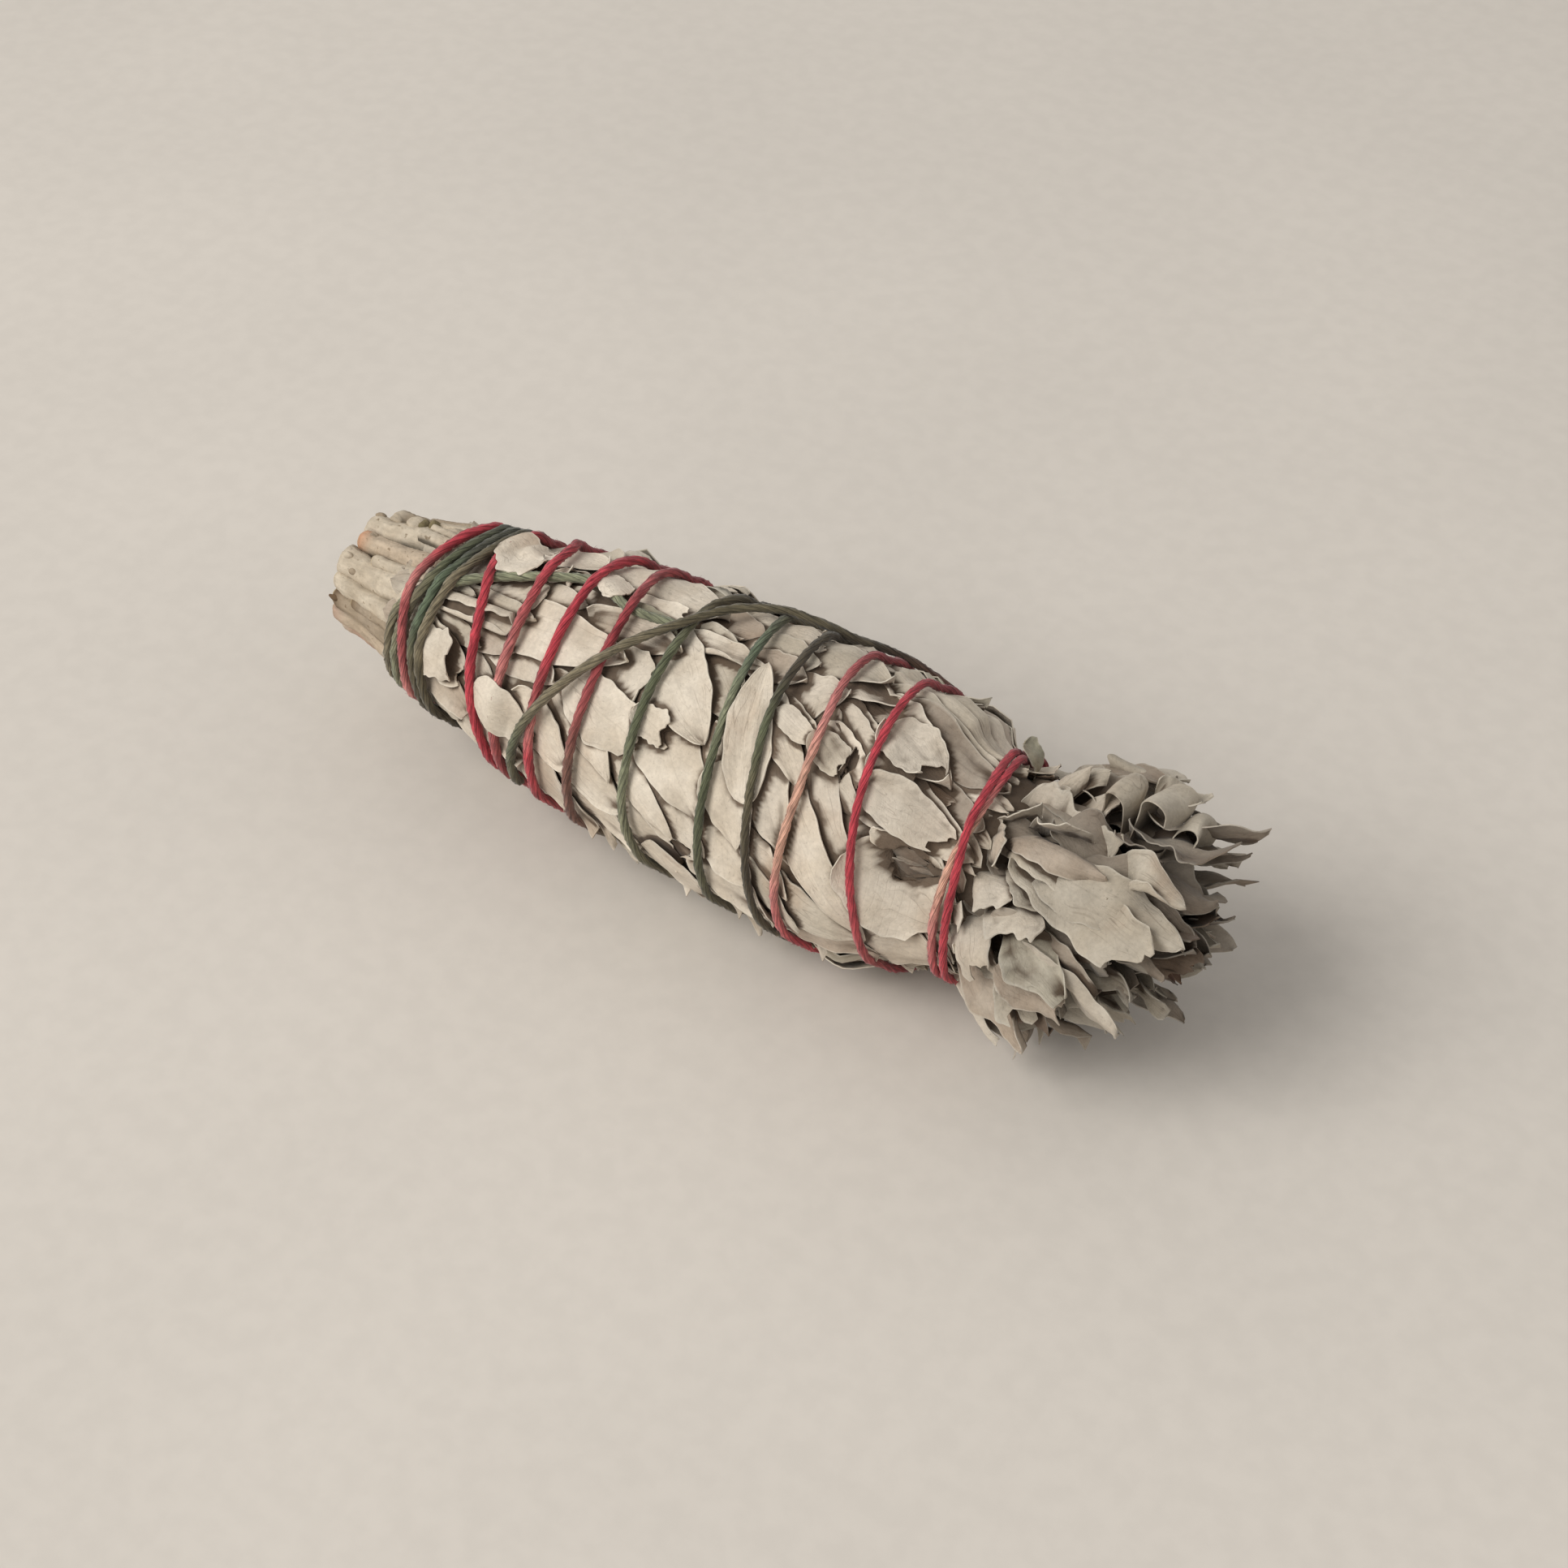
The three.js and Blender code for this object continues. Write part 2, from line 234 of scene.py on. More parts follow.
def shadeBy(tree, colour, tone):
    grey = wire(tree, "ShaderNodeCombineColor", {0: tone, 1: tone, 2: tone}).outputs[0]
    return mixColours(tree, 1.0, colour, grey, "MULTIPLY")


def objectPlace(tree):
    return wire(tree, "ShaderNodeTexCoord").outputs["Object"]


def uvPlace(tree, layer):
    uv = wire(tree, "ShaderNodeUVMap", uv_map=layer).outputs["UV"]
    return wire(tree, "ShaderNodeSeparateXYZ", {0: uv}).outputs[0:2]


def joinPlace(tree, *parts):
    return wire(tree, "ShaderNodeCombineXYZ", dict(enumerate(parts))).outputs[0]


def newMaterial(name, roughness):
    material = bpy.data.materials.new(name)
    material.use_nodes = True
    tree = material.node_tree
    tree.nodes.clear()
    output = tree.nodes.new("ShaderNodeOutputMaterial")
    shader = tree.nodes.new("ShaderNodeBsdfPrincipled")
    shader.inputs["Roughness"].default_value = roughness
    shader.inputs["Specular IOR Level"].default_value = 0.25
    tree.links.new(shader.outputs["BSDF"], output.inputs["Surface"])
    return material, tree, shader


def finishSurface(tree, shader, colour, height, strength, depth):
    tree.links.new(colour, shader.inputs["Base Color"])
    bump = wire(tree, "ShaderNodeBump", {
        "Height": height, "Strength": strength, "Distance": depth * millimetre,
    })
    tree.links.new(bump.outputs[0], shader.inputs["Normal"])


def makeDownGroup():  # the powdery, finely mottled skin that leaves and stems share
    group = bpy.data.node_groups.new("powderyDown", "ShaderNodeTree")
    sockets = (
        ("Place", "INPUT", "Vector"), ("Grain", "INPUT", "Float"), ("Colour", "INPUT", "Color"),
        ("Colour", "OUTPUT", "Color"), ("Height", "OUTPUT", "Float"),
    )
    for name, way, kind in sockets:
        group.interface.new_socket(name, in_out=way, socket_type="NodeSocket" + kind)
    inside = group.nodes.new("NodeGroupInput")
    outside = group.nodes.new("NodeGroupOutput")
    place, grain = inside.outputs["Place"], inside.outputs["Grain"]
    fine = noise(group, place, grain, 4.0, 0.65)
    patches = noise(group, place, times(group, grain, 0.16), 3.0)
    specks = noise(group, place, times(group, grain, 1.7), 1.0)
    fineTone = spreadOut(group, fine, 0.3, 0.72, 0.90, 1.05)
    patchTone = spreadOut(group, patches, 0.3, 0.7, 0.92, 1.04)
    speckTone = spreadOut(group, specks, 0.26, 0.33, 0.84, 1.0)
    tone = times(group, times(group, fineTone, patchTone), speckTone)
    group.links.new(shadeBy(group, inside.outputs["Colour"], tone), outside.inputs["Colour"])
    group.links.new(fine, outside.inputs["Height"])
    return group


downGroup = makeDownGroup()


def down(tree, place, grain, colour):
    values = {"Place": place, "Grain": grain, "Colour": colour}
    node = wire(tree, "ShaderNodeGroup", values, node_tree=downGroup)
    return node.outputs["Colour"], node.outputs["Height"]


def makeTable():
    material, tree, shader = newMaterial("tablePaper", 0.85)
    place = objectPlace(tree)
    grain = spreadOut(tree, noise(tree, place, 260.0, 5.0), 0.3, 0.7, 0.975, 1.015)
    clouds = spreadOut(tree, noise(tree, place, 9.0, 2.0), 0.3, 0.7, 0.97, 1.02)
    colour = shadeBy(tree, setting["tableColour"], times(tree, grain, clouds))
    tree.links.new(colour, shader.inputs["Base Color"])
    sheet = bmesh.new()
    bmesh.ops.create_grid(sheet, x_segments=1, y_segments=1, size=setting["tableSize"] / 2 * millimetre)
    table = meshObject("table", sheet, material)


makeTable()


# The bundle's own shape; its outline is the radius by station along it.
bundle = {
    "axisHeight": 21.0,
    "outline": (
        (-75, 9.5), (-66, 10.3), (-59, 12.2), (-52, 14.5), (-44, 16.2), (-36, 17.9),
        (-27, 19.4), (-18, 20.4), (1, 21.4), (20, 21.6), (31, 19.8), (37.5, 17.2),
        (44.5, 16.9), (50, 20.3), (55, 21.8), (63, 21), (75, 18.5),
    ),
    "softEdge": 1.5,  # below this height leaves are pressed together on the table
}


def onBundle(station, degrees, radius):
    angle = np.radians(degrees)
    z = bundle["axisHeight"] + radius * np.sin(angle)
    soft = bundle["softEdge"]
    z = np.where(z < soft, soft * np.exp((np.minimum(z, soft) - soft) / soft), z)
    return np.stack([station + 0 * z, -radius * np.cos(angle), z], axis=-1)


# The binding thread.
thread = {
    "radii": ((-35, 0.68), (15, 0.54)),  # thicker where it was wound last
    "ride": 0.22,        # its middle over the bundle's outline
    "liftShare": 0.75,
    "sink": 1.9,         # how far it lies deeper among the leaves over the top
    "sinkUnder": 0.6,    # the share of that under the bundle
    "lowest": 0.75,      # its middle over the table
    "spacing": 0.48,
    "sides": 16,
    "plies": 6,
    "plyDepth": 0.26,
    "pitch": 17.0,
    "roughness": 0.13,
    "roughSeed": 6,
    "fibres": 9000,
    "fibreSeed": 8,
    "fibreWidth": 0.052,
    "sheen": 0.25,
    "bump": 0.8,
    "bumpDepth": 0.15,
}

# The thread's dyes; deepRed, darkTeal and darkOlive also stand for painted shade at the ends of the turns.
threadDyesAndShades = {
    "red": srgb(186, 66, 76),
    "deepRed": srgb(150, 56, 62),
    "dullRed": srgb(168, 86, 86),
    "pink": srgb(206, 132, 126),
    "peach": srgb(214, 166, 144),
    "rust": srgb(130, 92, 80),
    "teal": srgb(100, 112, 90),
    "darkTeal": srgb(76, 76, 64),
    "green": srgb(98, 102, 78),
    "paleGreen": srgb(138, 140, 114),
    "olive": srgb(100, 92, 72),
    "paleOlive": srgb(128, 118, 96),
    "darkOlive": srgb(80, 72, 58),
}

# Each turn is a list of [angle, station, lift over the leaves where it has one], down the front
# and round the back.
threadTurns = [
    [[81, -9.6], [80, -17.7], [86, -25.5], [79, -34], [70, -41.5], [62, -46], [53, -50.5], [42, -53.2],
     [28, -54.6], [5, -55], [-30, -55.4], [-105, -53.8], [-150, -51.6], [-195, -48.6]],
    [[120, -46.8], [90, -48], [70, -49, 0.9], [57, -49.8, 1.5], [47, -50.8, 1], [34, -52.2],
     [22, -52.8], [5, -53.2], [-30, -53.3], [-105, -52.2, 0.3], [-150, -51.2, 1.4], [-195, -50, 1.4]],
    [[120, -48.6, 0.2], [90, -51], [68, -52.2, 0.7], [55, -52.6, 1.4], [43, -52.1, 1.9],
     [25, -51.3, 1], [5, -51.1], [-30, -50.6], [-105, -49.2], [-185, -47.4]],
    [[120, -45.2], [90, -46], [70, -47, 0.9], [60, -47.9, 1.4], [47, -48.7, 0.5], [25, -49.5],
     [5, -48.8], [-30, -47.4], [-105, -46.6], [-185, -45]],
    [[120, -43.4], [90, -44.4], [72, -45.2, 0.9], [62, -46, 1.4], [48, -46.9, 0.5], [25, -47.9],
     [5, -47.2], [-30, -45.6], [-105, -44.8], [-185, -43.2]],
    [[120, -41.6], [94, -42.4], [81, -42, 0.6], [70, -40.7, 1.4], [57, -39.3, 0.6], [40, -37.9],
     [20, -36.5], [0, -34.6], [-35, -31.9], [-105, -32.2], [-185, -34]],
    [[120, -35], [100, -33.4, 0.5], [82, -32.5, 1.4], [66, -32, 0.6], [45, -31.6], [20, -31.3],
     [-5, -30.8], [-35, -29.8], [-105, -27.8], [-185, -25]],
    [[120, -23.5], [100, -24.8, 0.6], [85, -24.9, 1.4], [68, -24.8, 0.6], [45, -24.4], [20, -24.1],
     [-5, -23.7], [-38, -23.2], [-105, -21.4], [-185, -19.2]],
    [[120, -17.6], [102, -18.3, 0.5], [83, -17.2, 1.4], [66, -16.6, 0.6], [45, -16.3], [20, -16.4],
     [-5, -16.6], [-38, -16.7], [-105, -13.4], [-185, -8.6]],
    [[120, -6.2], [97, -8], [75, -7.9], [50, -7.5], [25, -6.9], [0, -6.2], [-35, -3.2], [-105, -1.6],
     [-185, 0]],
    [[115, 1.2], [90, 2.2], [68, 3.6], [45, 5.2], [22, 6.2], [-2, 6.9], [-35, 8], [-105, 8.2],
     [-185, 8]],
    [[115, 8.2], [90, 8.8], [65, 10], [40, 12.3], [15, 14.2], [-8, 15.7], [-38, 17.6], [-105, 17],
     [-185, 15.8]],
    [[118, 15.4], [92, 15.8], [68, 17.6], [45, 18.9], [20, 19.2], [-5, 19.5], [-35, 21.2],
     [-105, 22.6], [-185, 23.8]],
    [[122, 23.9], [98, 24.1], [75, 25.2], [50, 26.9], [25, 29.1], [0, 31.2], [-38, 33], [-105, 35.2],
     [-185, 38]],
    [[120, 39.6], [95, 40.4], [70, 40.8], [45, 40.6], [20, 40.7], [-8, 41.2], [-40, 41.2],
     [-105, 40.4, 0.3], [-165, 39.6, 1.4], [-210, 38.4, 1.4]],
    [[125, 38.2, 0.6], [102, 39.0, 0.2], [84, 39.9, 0.8], [62, 40.8, 1.5], [44, 41.7, 0.6], [25, 42.3],
     [0, 42.8], [-35, 42.9], [-70, 42.4, 0.9], [-95, 41, 1.6], [-135, 35, 1.4], [-185, 27.5, 1.2]],
    [[146, 17.5, 1.2], [119, 8.6, 1.3], [108, 1.2, 1.5], [97, -4.2, 1.5], [80, -8.9, 1.5],
     [62, -14.4, 1.8], [45, -19.2, 1.5], [30, -22.7, 1.6], [16, -25.2, 1.3], [-2, -27.4, 0.3],
     [-24, -28]],
]

# The colour along each turn, as [angle, dye]; it blends between these places. Most stops are the thread's own
# variegated dye; the darker stops at the ends of a turn, where it goes back over the top and where it runs
# under the bundle, are painted shade.
turnDyesAndShade = [
    [[90, "paleGreen"], [60, "paleGreen"], [20, "paleOlive"], [-60, "olive"]],
    [[110, "darkTeal"], [70, "green"], [40, "paleOlive"], [0, "paleGreen"], [-60, "olive"]],
    [[115, "red"], [80, "red"], [66, "dullRed"], [52, "pink"], [40, "dullRed"], [10, "dullRed"],
     [-15, "pink"], [-60, "dullRed"]],
    [[115, "darkTeal"], [80, "darkTeal"], [60, "teal"], [35, "teal"], [12, "olive"],
     [-30, "darkOlive"]],
    [[115, "darkTeal"], [85, "olive"], [62, "paleOlive"], [30, "paleOlive"], [5, "olive"],
     [-40, "darkOlive"]],
    [[115, "deepRed"], [90, "red"], [50, "red"], [0, "red"], [-50, "deepRed"]],
    [[115, "deepRed"], [85, "red"], [60, "dullRed"], [30, "pink"], [0, "dullRed"], [-50, "deepRed"]],
    [[120, "deepRed"], [95, "red"], [50, "red"], [30, "dullRed"], [18, "pink"], [5, "red"],
     [-50, "dullRed"]],
    [[120, "deepRed"], [95, "dullRed"], [70, "deepRed"], [40, "dullRed"], [15, "rust"], [-20, "rust"],
     [-50, "olive"]],
    [[120, "darkOlive"], [95, "olive"], [70, "green"], [40, "green"], [15, "paleGreen"],
     [-30, "olive"]],
    [[115, "olive"], [85, "teal"], [60, "paleGreen"], [40, "green"], [15, "green"], [-30, "olive"]],
    [[115, "darkOlive"], [80, "darkOlive"], [58, "green"], [35, "olive"], [10, "darkOlive"],
     [-30, "olive"]],
    [[120, "deepRed"], [95, "dullRed"], [74, "pink"], [50, "peach"], [20, "peach"], [5, "pink"],
     [-25, "red"]],
    [[120, "deepRed"], [90, "red"], [20, "red"], [-20, "dullRed"], [-50, "deepRed"]],
    [[120, "deepRed"], [90, "red"], [75, "pink"], [60, "peach"], [30, "peach"], [12, "pink"],
     [-20, "red"]],
    [[125, "deepRed"], [90, "red"], [60, "red"], [20, "red"], [-30, "red"], [-100, "deepRed"]],
    [[128, "darkOlive"], [105, "olive"], [80, "olive"], [60, "paleOlive"], [30, "paleOlive"],
     [10, "green"], [-24, "olive"]],
]


def threadRoute(spacing):  # winding angle, station, lift and turn, evenly spaced along the thread
    keys = np.array([
        [degrees - 360 * count, station, *(lift or [0])]
        for count, turn in enumerate(threadTurns) for degrees, station, *lift in turn
    ], float)
    owner = np.array([count for count, turn in enumerate(threadTurns) for _ in turn], float)
    last = len(keys) - 1
    place = np.linspace(0, last, last * 80)
    i = np.minimum(place.astype(int), last - 1)
    s = (place - i)[:, None]
    before, start, end = keys[np.maximum(i - 1, 0)], keys[i], keys[i + 1]
    after = keys[np.minimum(i + 2, last)]
    rise = s * s * (3 - 2 * s)
    bow = s * (1 - s) * ((1 - s) * (end - before) / 2 - s * (after - start) / 2)
    route = start * (1 - rise) + end * rise + bow
    length = np.linalg.norm(np.diff(threadPoint(route), axis=0), axis=1)
    length = np.concatenate([[0], np.cumsum(length)])
    even = np.linspace(0, length[-1], int(length[-1] / spacing) + 1)
    spaced = np.stack([np.interp(even, length, route[:, k]) for k in range(3)], axis=-1)
    return spaced, np.interp(even, length, owner[i]), even


def threadRadius(station):
    (first, thick), (last, thin) = thread["radii"]
    return np.interp(station, (first, last), (thick, thin))


def threadPoint(route):
    degrees, station, lift = route.T
    overTop = smoothStep(106, 126, degrees % 360) * smoothStep(215, 180, degrees % 360)
    under = smoothStep(346, 325, degrees % 360) * smoothStep(235, 260, degrees % 360)
    lift = np.maximum(lift, 0) * thread["liftShare"]
    lift = lift - thread["sink"] * (overTop + thread["sinkUnder"] * under)
    radius = smoothTable(bundle["outline"], station) + thread["ride"] + lift
    angle = np.radians(degrees)
    z = np.maximum(bundle["axisHeight"] + radius * np.sin(angle), thread["lowest"])
    return np.stack([station, -radius * np.cos(angle), z], axis=-1)


route, routeTurn, routeLength = threadRoute(thread["spacing"])
routePoints = threadPoint(route)
print("thread route of", round(routeLength[-1]), "mm")


# Heights are kept in maps of the unrolled bundle, by station and angle.
unrolled = {"from": -62.0, "to": 88.0, "step": 0.5, "turn": 1.5}
mapRows = int((unrolled["to"] - unrolled["from"]) / unrolled["step"]) + 1
mapColumns = int(360 / unrolled["turn"])


def readMap(heights, station, degrees):
    row = np.clip((station - unrolled["from"]) / unrolled["step"], 0, mapRows - 1.001)
    column = (degrees % 360) / unrolled["turn"]
    r, c = row.astype(int), column.astype(int)
    partRow, partColumn = row - r, column - c
    c, nextColumn = c % mapColumns, (c + 1) % mapColumns
    low = heights[r, c] * (1 - partColumn) + heights[r, nextColumn] * partColumn
    high = heights[r + 1, c] * (1 - partColumn) + heights[r + 1, nextColumn] * partColumn
    return low * (1 - partRow) + high * partRow


def raiseMap(heights, station, degrees, values):
    row = np.clip(np.rint((station - unrolled["from"]) / unrolled["step"]), 0, mapRows - 1).astype(int)
    column = np.rint((degrees % 360) / unrolled["turn"]).astype(int) % mapColumns
    np.maximum.at(heights, (row, column), values)


def spreadMap(heights, reach):  # the highest value within reach
    around = heights.copy()
    for shift in range(1, reach + 1):
        for way in (shift, -shift):
            around = np.maximum(around, np.roll(heights, way, 1))
    wide = around.copy()
    for shift in range(1, reach + 1):
        wide[shift:] = np.maximum(wide[shift:], around[:-shift])
        wide[:-shift] = np.maximum(wide[:-shift], around[shift:])
    return wide


def softenMap(heights, reach):  # a running mean within reach
    around = sum(np.roll(heights, shift, 1) for shift in range(-reach, reach + 1))
    padded = np.pad(around, ((reach, reach), (0, 0)), mode="edge")
    total = sum(padded[shift:shift + mapRows] for shift in range(2 * reach + 1))
    return total / (2 * reach + 1) ** 2


def nearThread(wanted, reach, update):  # calls update with each patch of the maps beside the thread
    rowReach = int(reach / unrolled["step"])
    for k in range(0, len(route), 2):
        if not wanted(k):
            continue
        station, degrees = route[k, 1], route[k, 0]
        radius = math.hypot(routePoints[k, 1], routePoints[k, 2] - bundle["axisHeight"])
        perDegree = radius * math.pi / 180
        columnReach = int(reach / perDegree / unrolled["turn"]) + 1
        row = int(round((station - unrolled["from"]) / unrolled["step"]))
        column = int(round(degrees / unrolled["turn"]))
        rows = np.arange(max(row - rowReach, 0), min(row + rowReach + 1, mapRows))
        columns = np.arange(column - columnReach, column + columnReach + 1)
        alongGap = unrolled["from"] + rows * unrolled["step"] - station
        aroundGap = (columns * unrolled["turn"] - degrees) * perDegree
        away = np.hypot(alongGap[:, None], aroundGap[None, :])
        update(np.ix_(rows, columns % mapColumns), away, radius)


pinch = {
    "swell": 0.85,          # how far leaves swell out past the outline between turns
    "bite": 0.20,           # leaf surface under a turn, measured in from the thread's middle
    "slope": 0.55,
    "reach": 5.0,
    "flat": 0.5,            # half width of the level part under a turn
    "flatNear": 0.55,       # how much of the leaves' relief is left beside the thread
    "reliefBack": (0.6, 3.2),  # distances from the thread between which the relief comes back
    "lifted": 0.7,          # a turn lifted more than this has leaves piled up to it
    "pileGap": 0.35,
    "pileSlope": 0.22,
    "pileReach": 6.0,
    "firm": 1.9,            # leaves are pressed the more, the deeper they lie past this
    "coverFrom": 0.12,      # painted shade: a leaf this far below its neighbours starts to darken
    "coverFull": 0.75,
}

# How far leaves stand out of the pile at most.
proudest = {"wound": 0.35, "loose": 0.12, "top": 0.9, "overThread": 0.6, "blob": 2.6}


def makePinchMaps():
    stations = unrolled["from"] + np.arange(mapRows) * unrolled["step"]
    outline = smoothTable(bundle["outline"], stations)[:, None]
    ceiling = np.repeat(outline + pinch["swell"], mapColumns, 1)
    near = np.full((mapRows, mapColumns), 99.0)

    def pile(patch, away, radius):
        cone = radius - pinch["pileGap"] - pinch["pileSlope"] * np.maximum(away - pinch["flat"], 0)
        ceiling[patch] = np.maximum(ceiling[patch], cone)

    def press(patch, away, radius):
        cone = radius - pinch["bite"] + pinch["slope"] * np.maximum(away - pinch["flat"], 0)
        ceiling[patch] = np.minimum(ceiling[patch], cone)
        near[patch] = np.minimum(near[patch], away)

    nearThread(lambda k: route[k, 2] > pinch["lifted"], pinch["pileReach"], pile)
    nearThread(lambda k: route[k, 2] <= pinch["lifted"], pinch["reach"], press)
    gain = pinch["flatNear"] + (1 - pinch["flatNear"]) * smoothStep(*pinch["reliefBack"], near)
    return softenMap(ceiling, 1), softenMap(gain, 1)


ceilingMap, gainMap = makePinchMaps()
print("thread pressed into the maps")


leafThickness = 0.17
layingGap = 0.05
leafStiffness = 0.8   # how far a leaf keeps an even bend over what it lies on
leafBearing = 0.8     # share of what lies below that a leaf clears

# arch: middle over the sides; roof: a sharp fold along the middle; pleat: two folds; edges: sides over
# the middle; groove: along the midrib; lean: one side higher; tear: how much of the tip is missing;
# roll: side, radius, degrees and where it may start; tipRoll: radius and degrees; outline: how the width
# grows and tapers; twist: lean that grows to the tip; fray: how uneven the margins are.
plainLeaf = {
    "arch": 0.45, "roof": 0.0, "pleat": 0.0, "edges": 0.25, "groove": 0.12, "lean": 0.35, "wave": 0.28,
    "crumple": 0.14, "tipLift": 0.1, "tear": 0.0, "roll": (), "tipRoll": None, "outline": (0.5, 0.75),
    "twist": 0.0, "fray": 0.5,
}
level = {"arch": 0.0, "edges": 0.0, "groove": 0.0, "tipLift": 0.0}
curled = {"arch": 0.2, "edges": 0.2, "wave": 0.2, "tipLift": 0.2}
leafKinds = {
    "plain": {},
    "flat": {"arch": 0.25, "edges": 0.05, "groove": 0.10, "lean": 0.22, "wave": 0.12, "tipLift": 0.1},
    "ridge": {**level, "arch": 0.2, "roof": 1.1, "wave": 0.15},
    "pleat": {**level, "arch": 0.2, "pleat": 0.75, "wave": 0.15, "outline": (0.35, 0.5)},
    "slim": {"arch": 0.3, "roof": 0.5, "edges": 0.1, "groove": 0.0, "wave": 0.1, "outline": (0.35, 0.45)},
    "trough": {"arch": 0.0, "edges": 1.2, "groove": 0.30, "wave": 0.30, "crumple": 0.20, "tipLift": 0.1},
    "torn": {"arch": 0.3, "edges": 0.4, "wave": 0.35, "crumple": 0.25, "tipLift": 0.2, "tear": 0.24,
             "outline": (0.5, 0.45)},
    "blob": {"arch": 2.3, "edges": 0.0, "groove": 0.0, "wave": 1.2, "crumple": 2.2, "tipLift": -0.8,
             "outline": (0.4, 0.3), "tear": 0.25, "fray": 1.8, "tipRoll": (1.0, 120)},
    "crumpled": {"arch": 0.8, "edges": 0.1, "groove": 0.0, "wave": 0.4, "crumple": 1.0, "tipLift": -0.3,
                 "tear": 0.12, "outline": (0.45, 0.4)},
    "curled": {**curled, "roll": ((1, 0.7, 200, 0.1),)},
    "curledLow": {**curled, "roll": ((-1, 0.7, 200, 0.1),)},
    "rolled": {**level, "wave": 0.1, "crumple": 0.1, "lean": 0.0, "outline": (0.25, 0.12),
               "roll": ((1, 1.0, 250, 0.1), (-1, 1.3, 200, 0.1))},
    "stalk": {**level, "wave": 0.1, "crumple": 0.3, "lean": 0.0, "outline": (0.12, 0.05), "tear": 0.10,
              "roll": ((1, 1.1, 280, 0.1), (-1, 1.2, 250, 0.1))},
    "tipCurl": {"arch": 0.4, "edges": 0.3, "wave": 0.3, "tipLift": 0.0, "tipRoll": (1.3, 150)},
    "wavy": {"arch": 0.1, "edges": 0.5, "wave": 1.0, "crumple": 0.25, "tipLift": 0.5, "twist": 0.7,
             "fray": 1.0},
    "hook": {"arch": 0.2, "edges": 0.4, "wave": 0.5, "crumple": 0.3, "tipLift": 0.0, "tipRoll": (2.0, 210),
             "outline": (0.4, 0.25), "fray": 1.0},
    "rag": {"arch": 0.3, "edges": 0.3, "groove": 0.05, "wave": 0.8, "crumple": 0.6, "tipLift": 0.2,
            "tear": 0.30, "outline": (0.45, 0.30), "twist": 0.8, "fray": 1.6},
    "cupped": {"arch": -0.2, "edges": 1.5, "wave": 0.4, "crumple": 0.3, "tipLift": 0.8, "fray": 1.0},
}

# Shade, green and brown of each tint.
leafTints = {
    "pale": (1.0, 0.10, 0.05),
    "grey": (0.90, 0.25, 0.10),
    "green": (0.80, 0.95, 0.05),
    "tan": (0.92, 0.05, 0.55),
    "brown": (0.70, 0.0, 0.95),
    "dark": (0.70, 0.12, 0.55),
    "blue": (0.90, 0.45, 0.0),
}


def creases(x, y, seed):  # three sets of folds, in millimetres and radians, crossing each other
    total = 0
    for count, (size, turn) in enumerate(((7.0, 0.4), (4.4, 1.9), (9.5, 2.6))):
        direction = turn + seed * 0.7 * (count + 1)
        line = (x * math.cos(direction) + y * math.sin(direction)) / size * math.pi
        total = total + np.abs(np.sin(line + seed * (count + 1))) * size / 9
    return total / 2


def ragged(x, seed):  # an uneven line between 0 and 1
    wobble = np.sin(x * 1.5 + seed) + 0.42 * np.sin(x * 3.9 + seed * 1.7) + 0.14 * np.sin(x * 10.3 + seed * 3)
    return np.clip(0.5 + wobble / 3.1, 0, 1)


def curlOver(length, start, radius, turned):  # bends what lies past start round a roll
    past = np.clip(length - start, 0, radius * math.radians(turned))
    angle = past / radius
    kept = np.minimum(length, start) + radius * np.sin(angle)
    return kept, radius * (1 - np.cos(angle))


def meshOf(steps, rows):  # shares along and across a leaf
    return np.meshgrid(np.linspace(0, 1, steps + 1), np.linspace(-1, 1, rows + 1), indexing="ij")


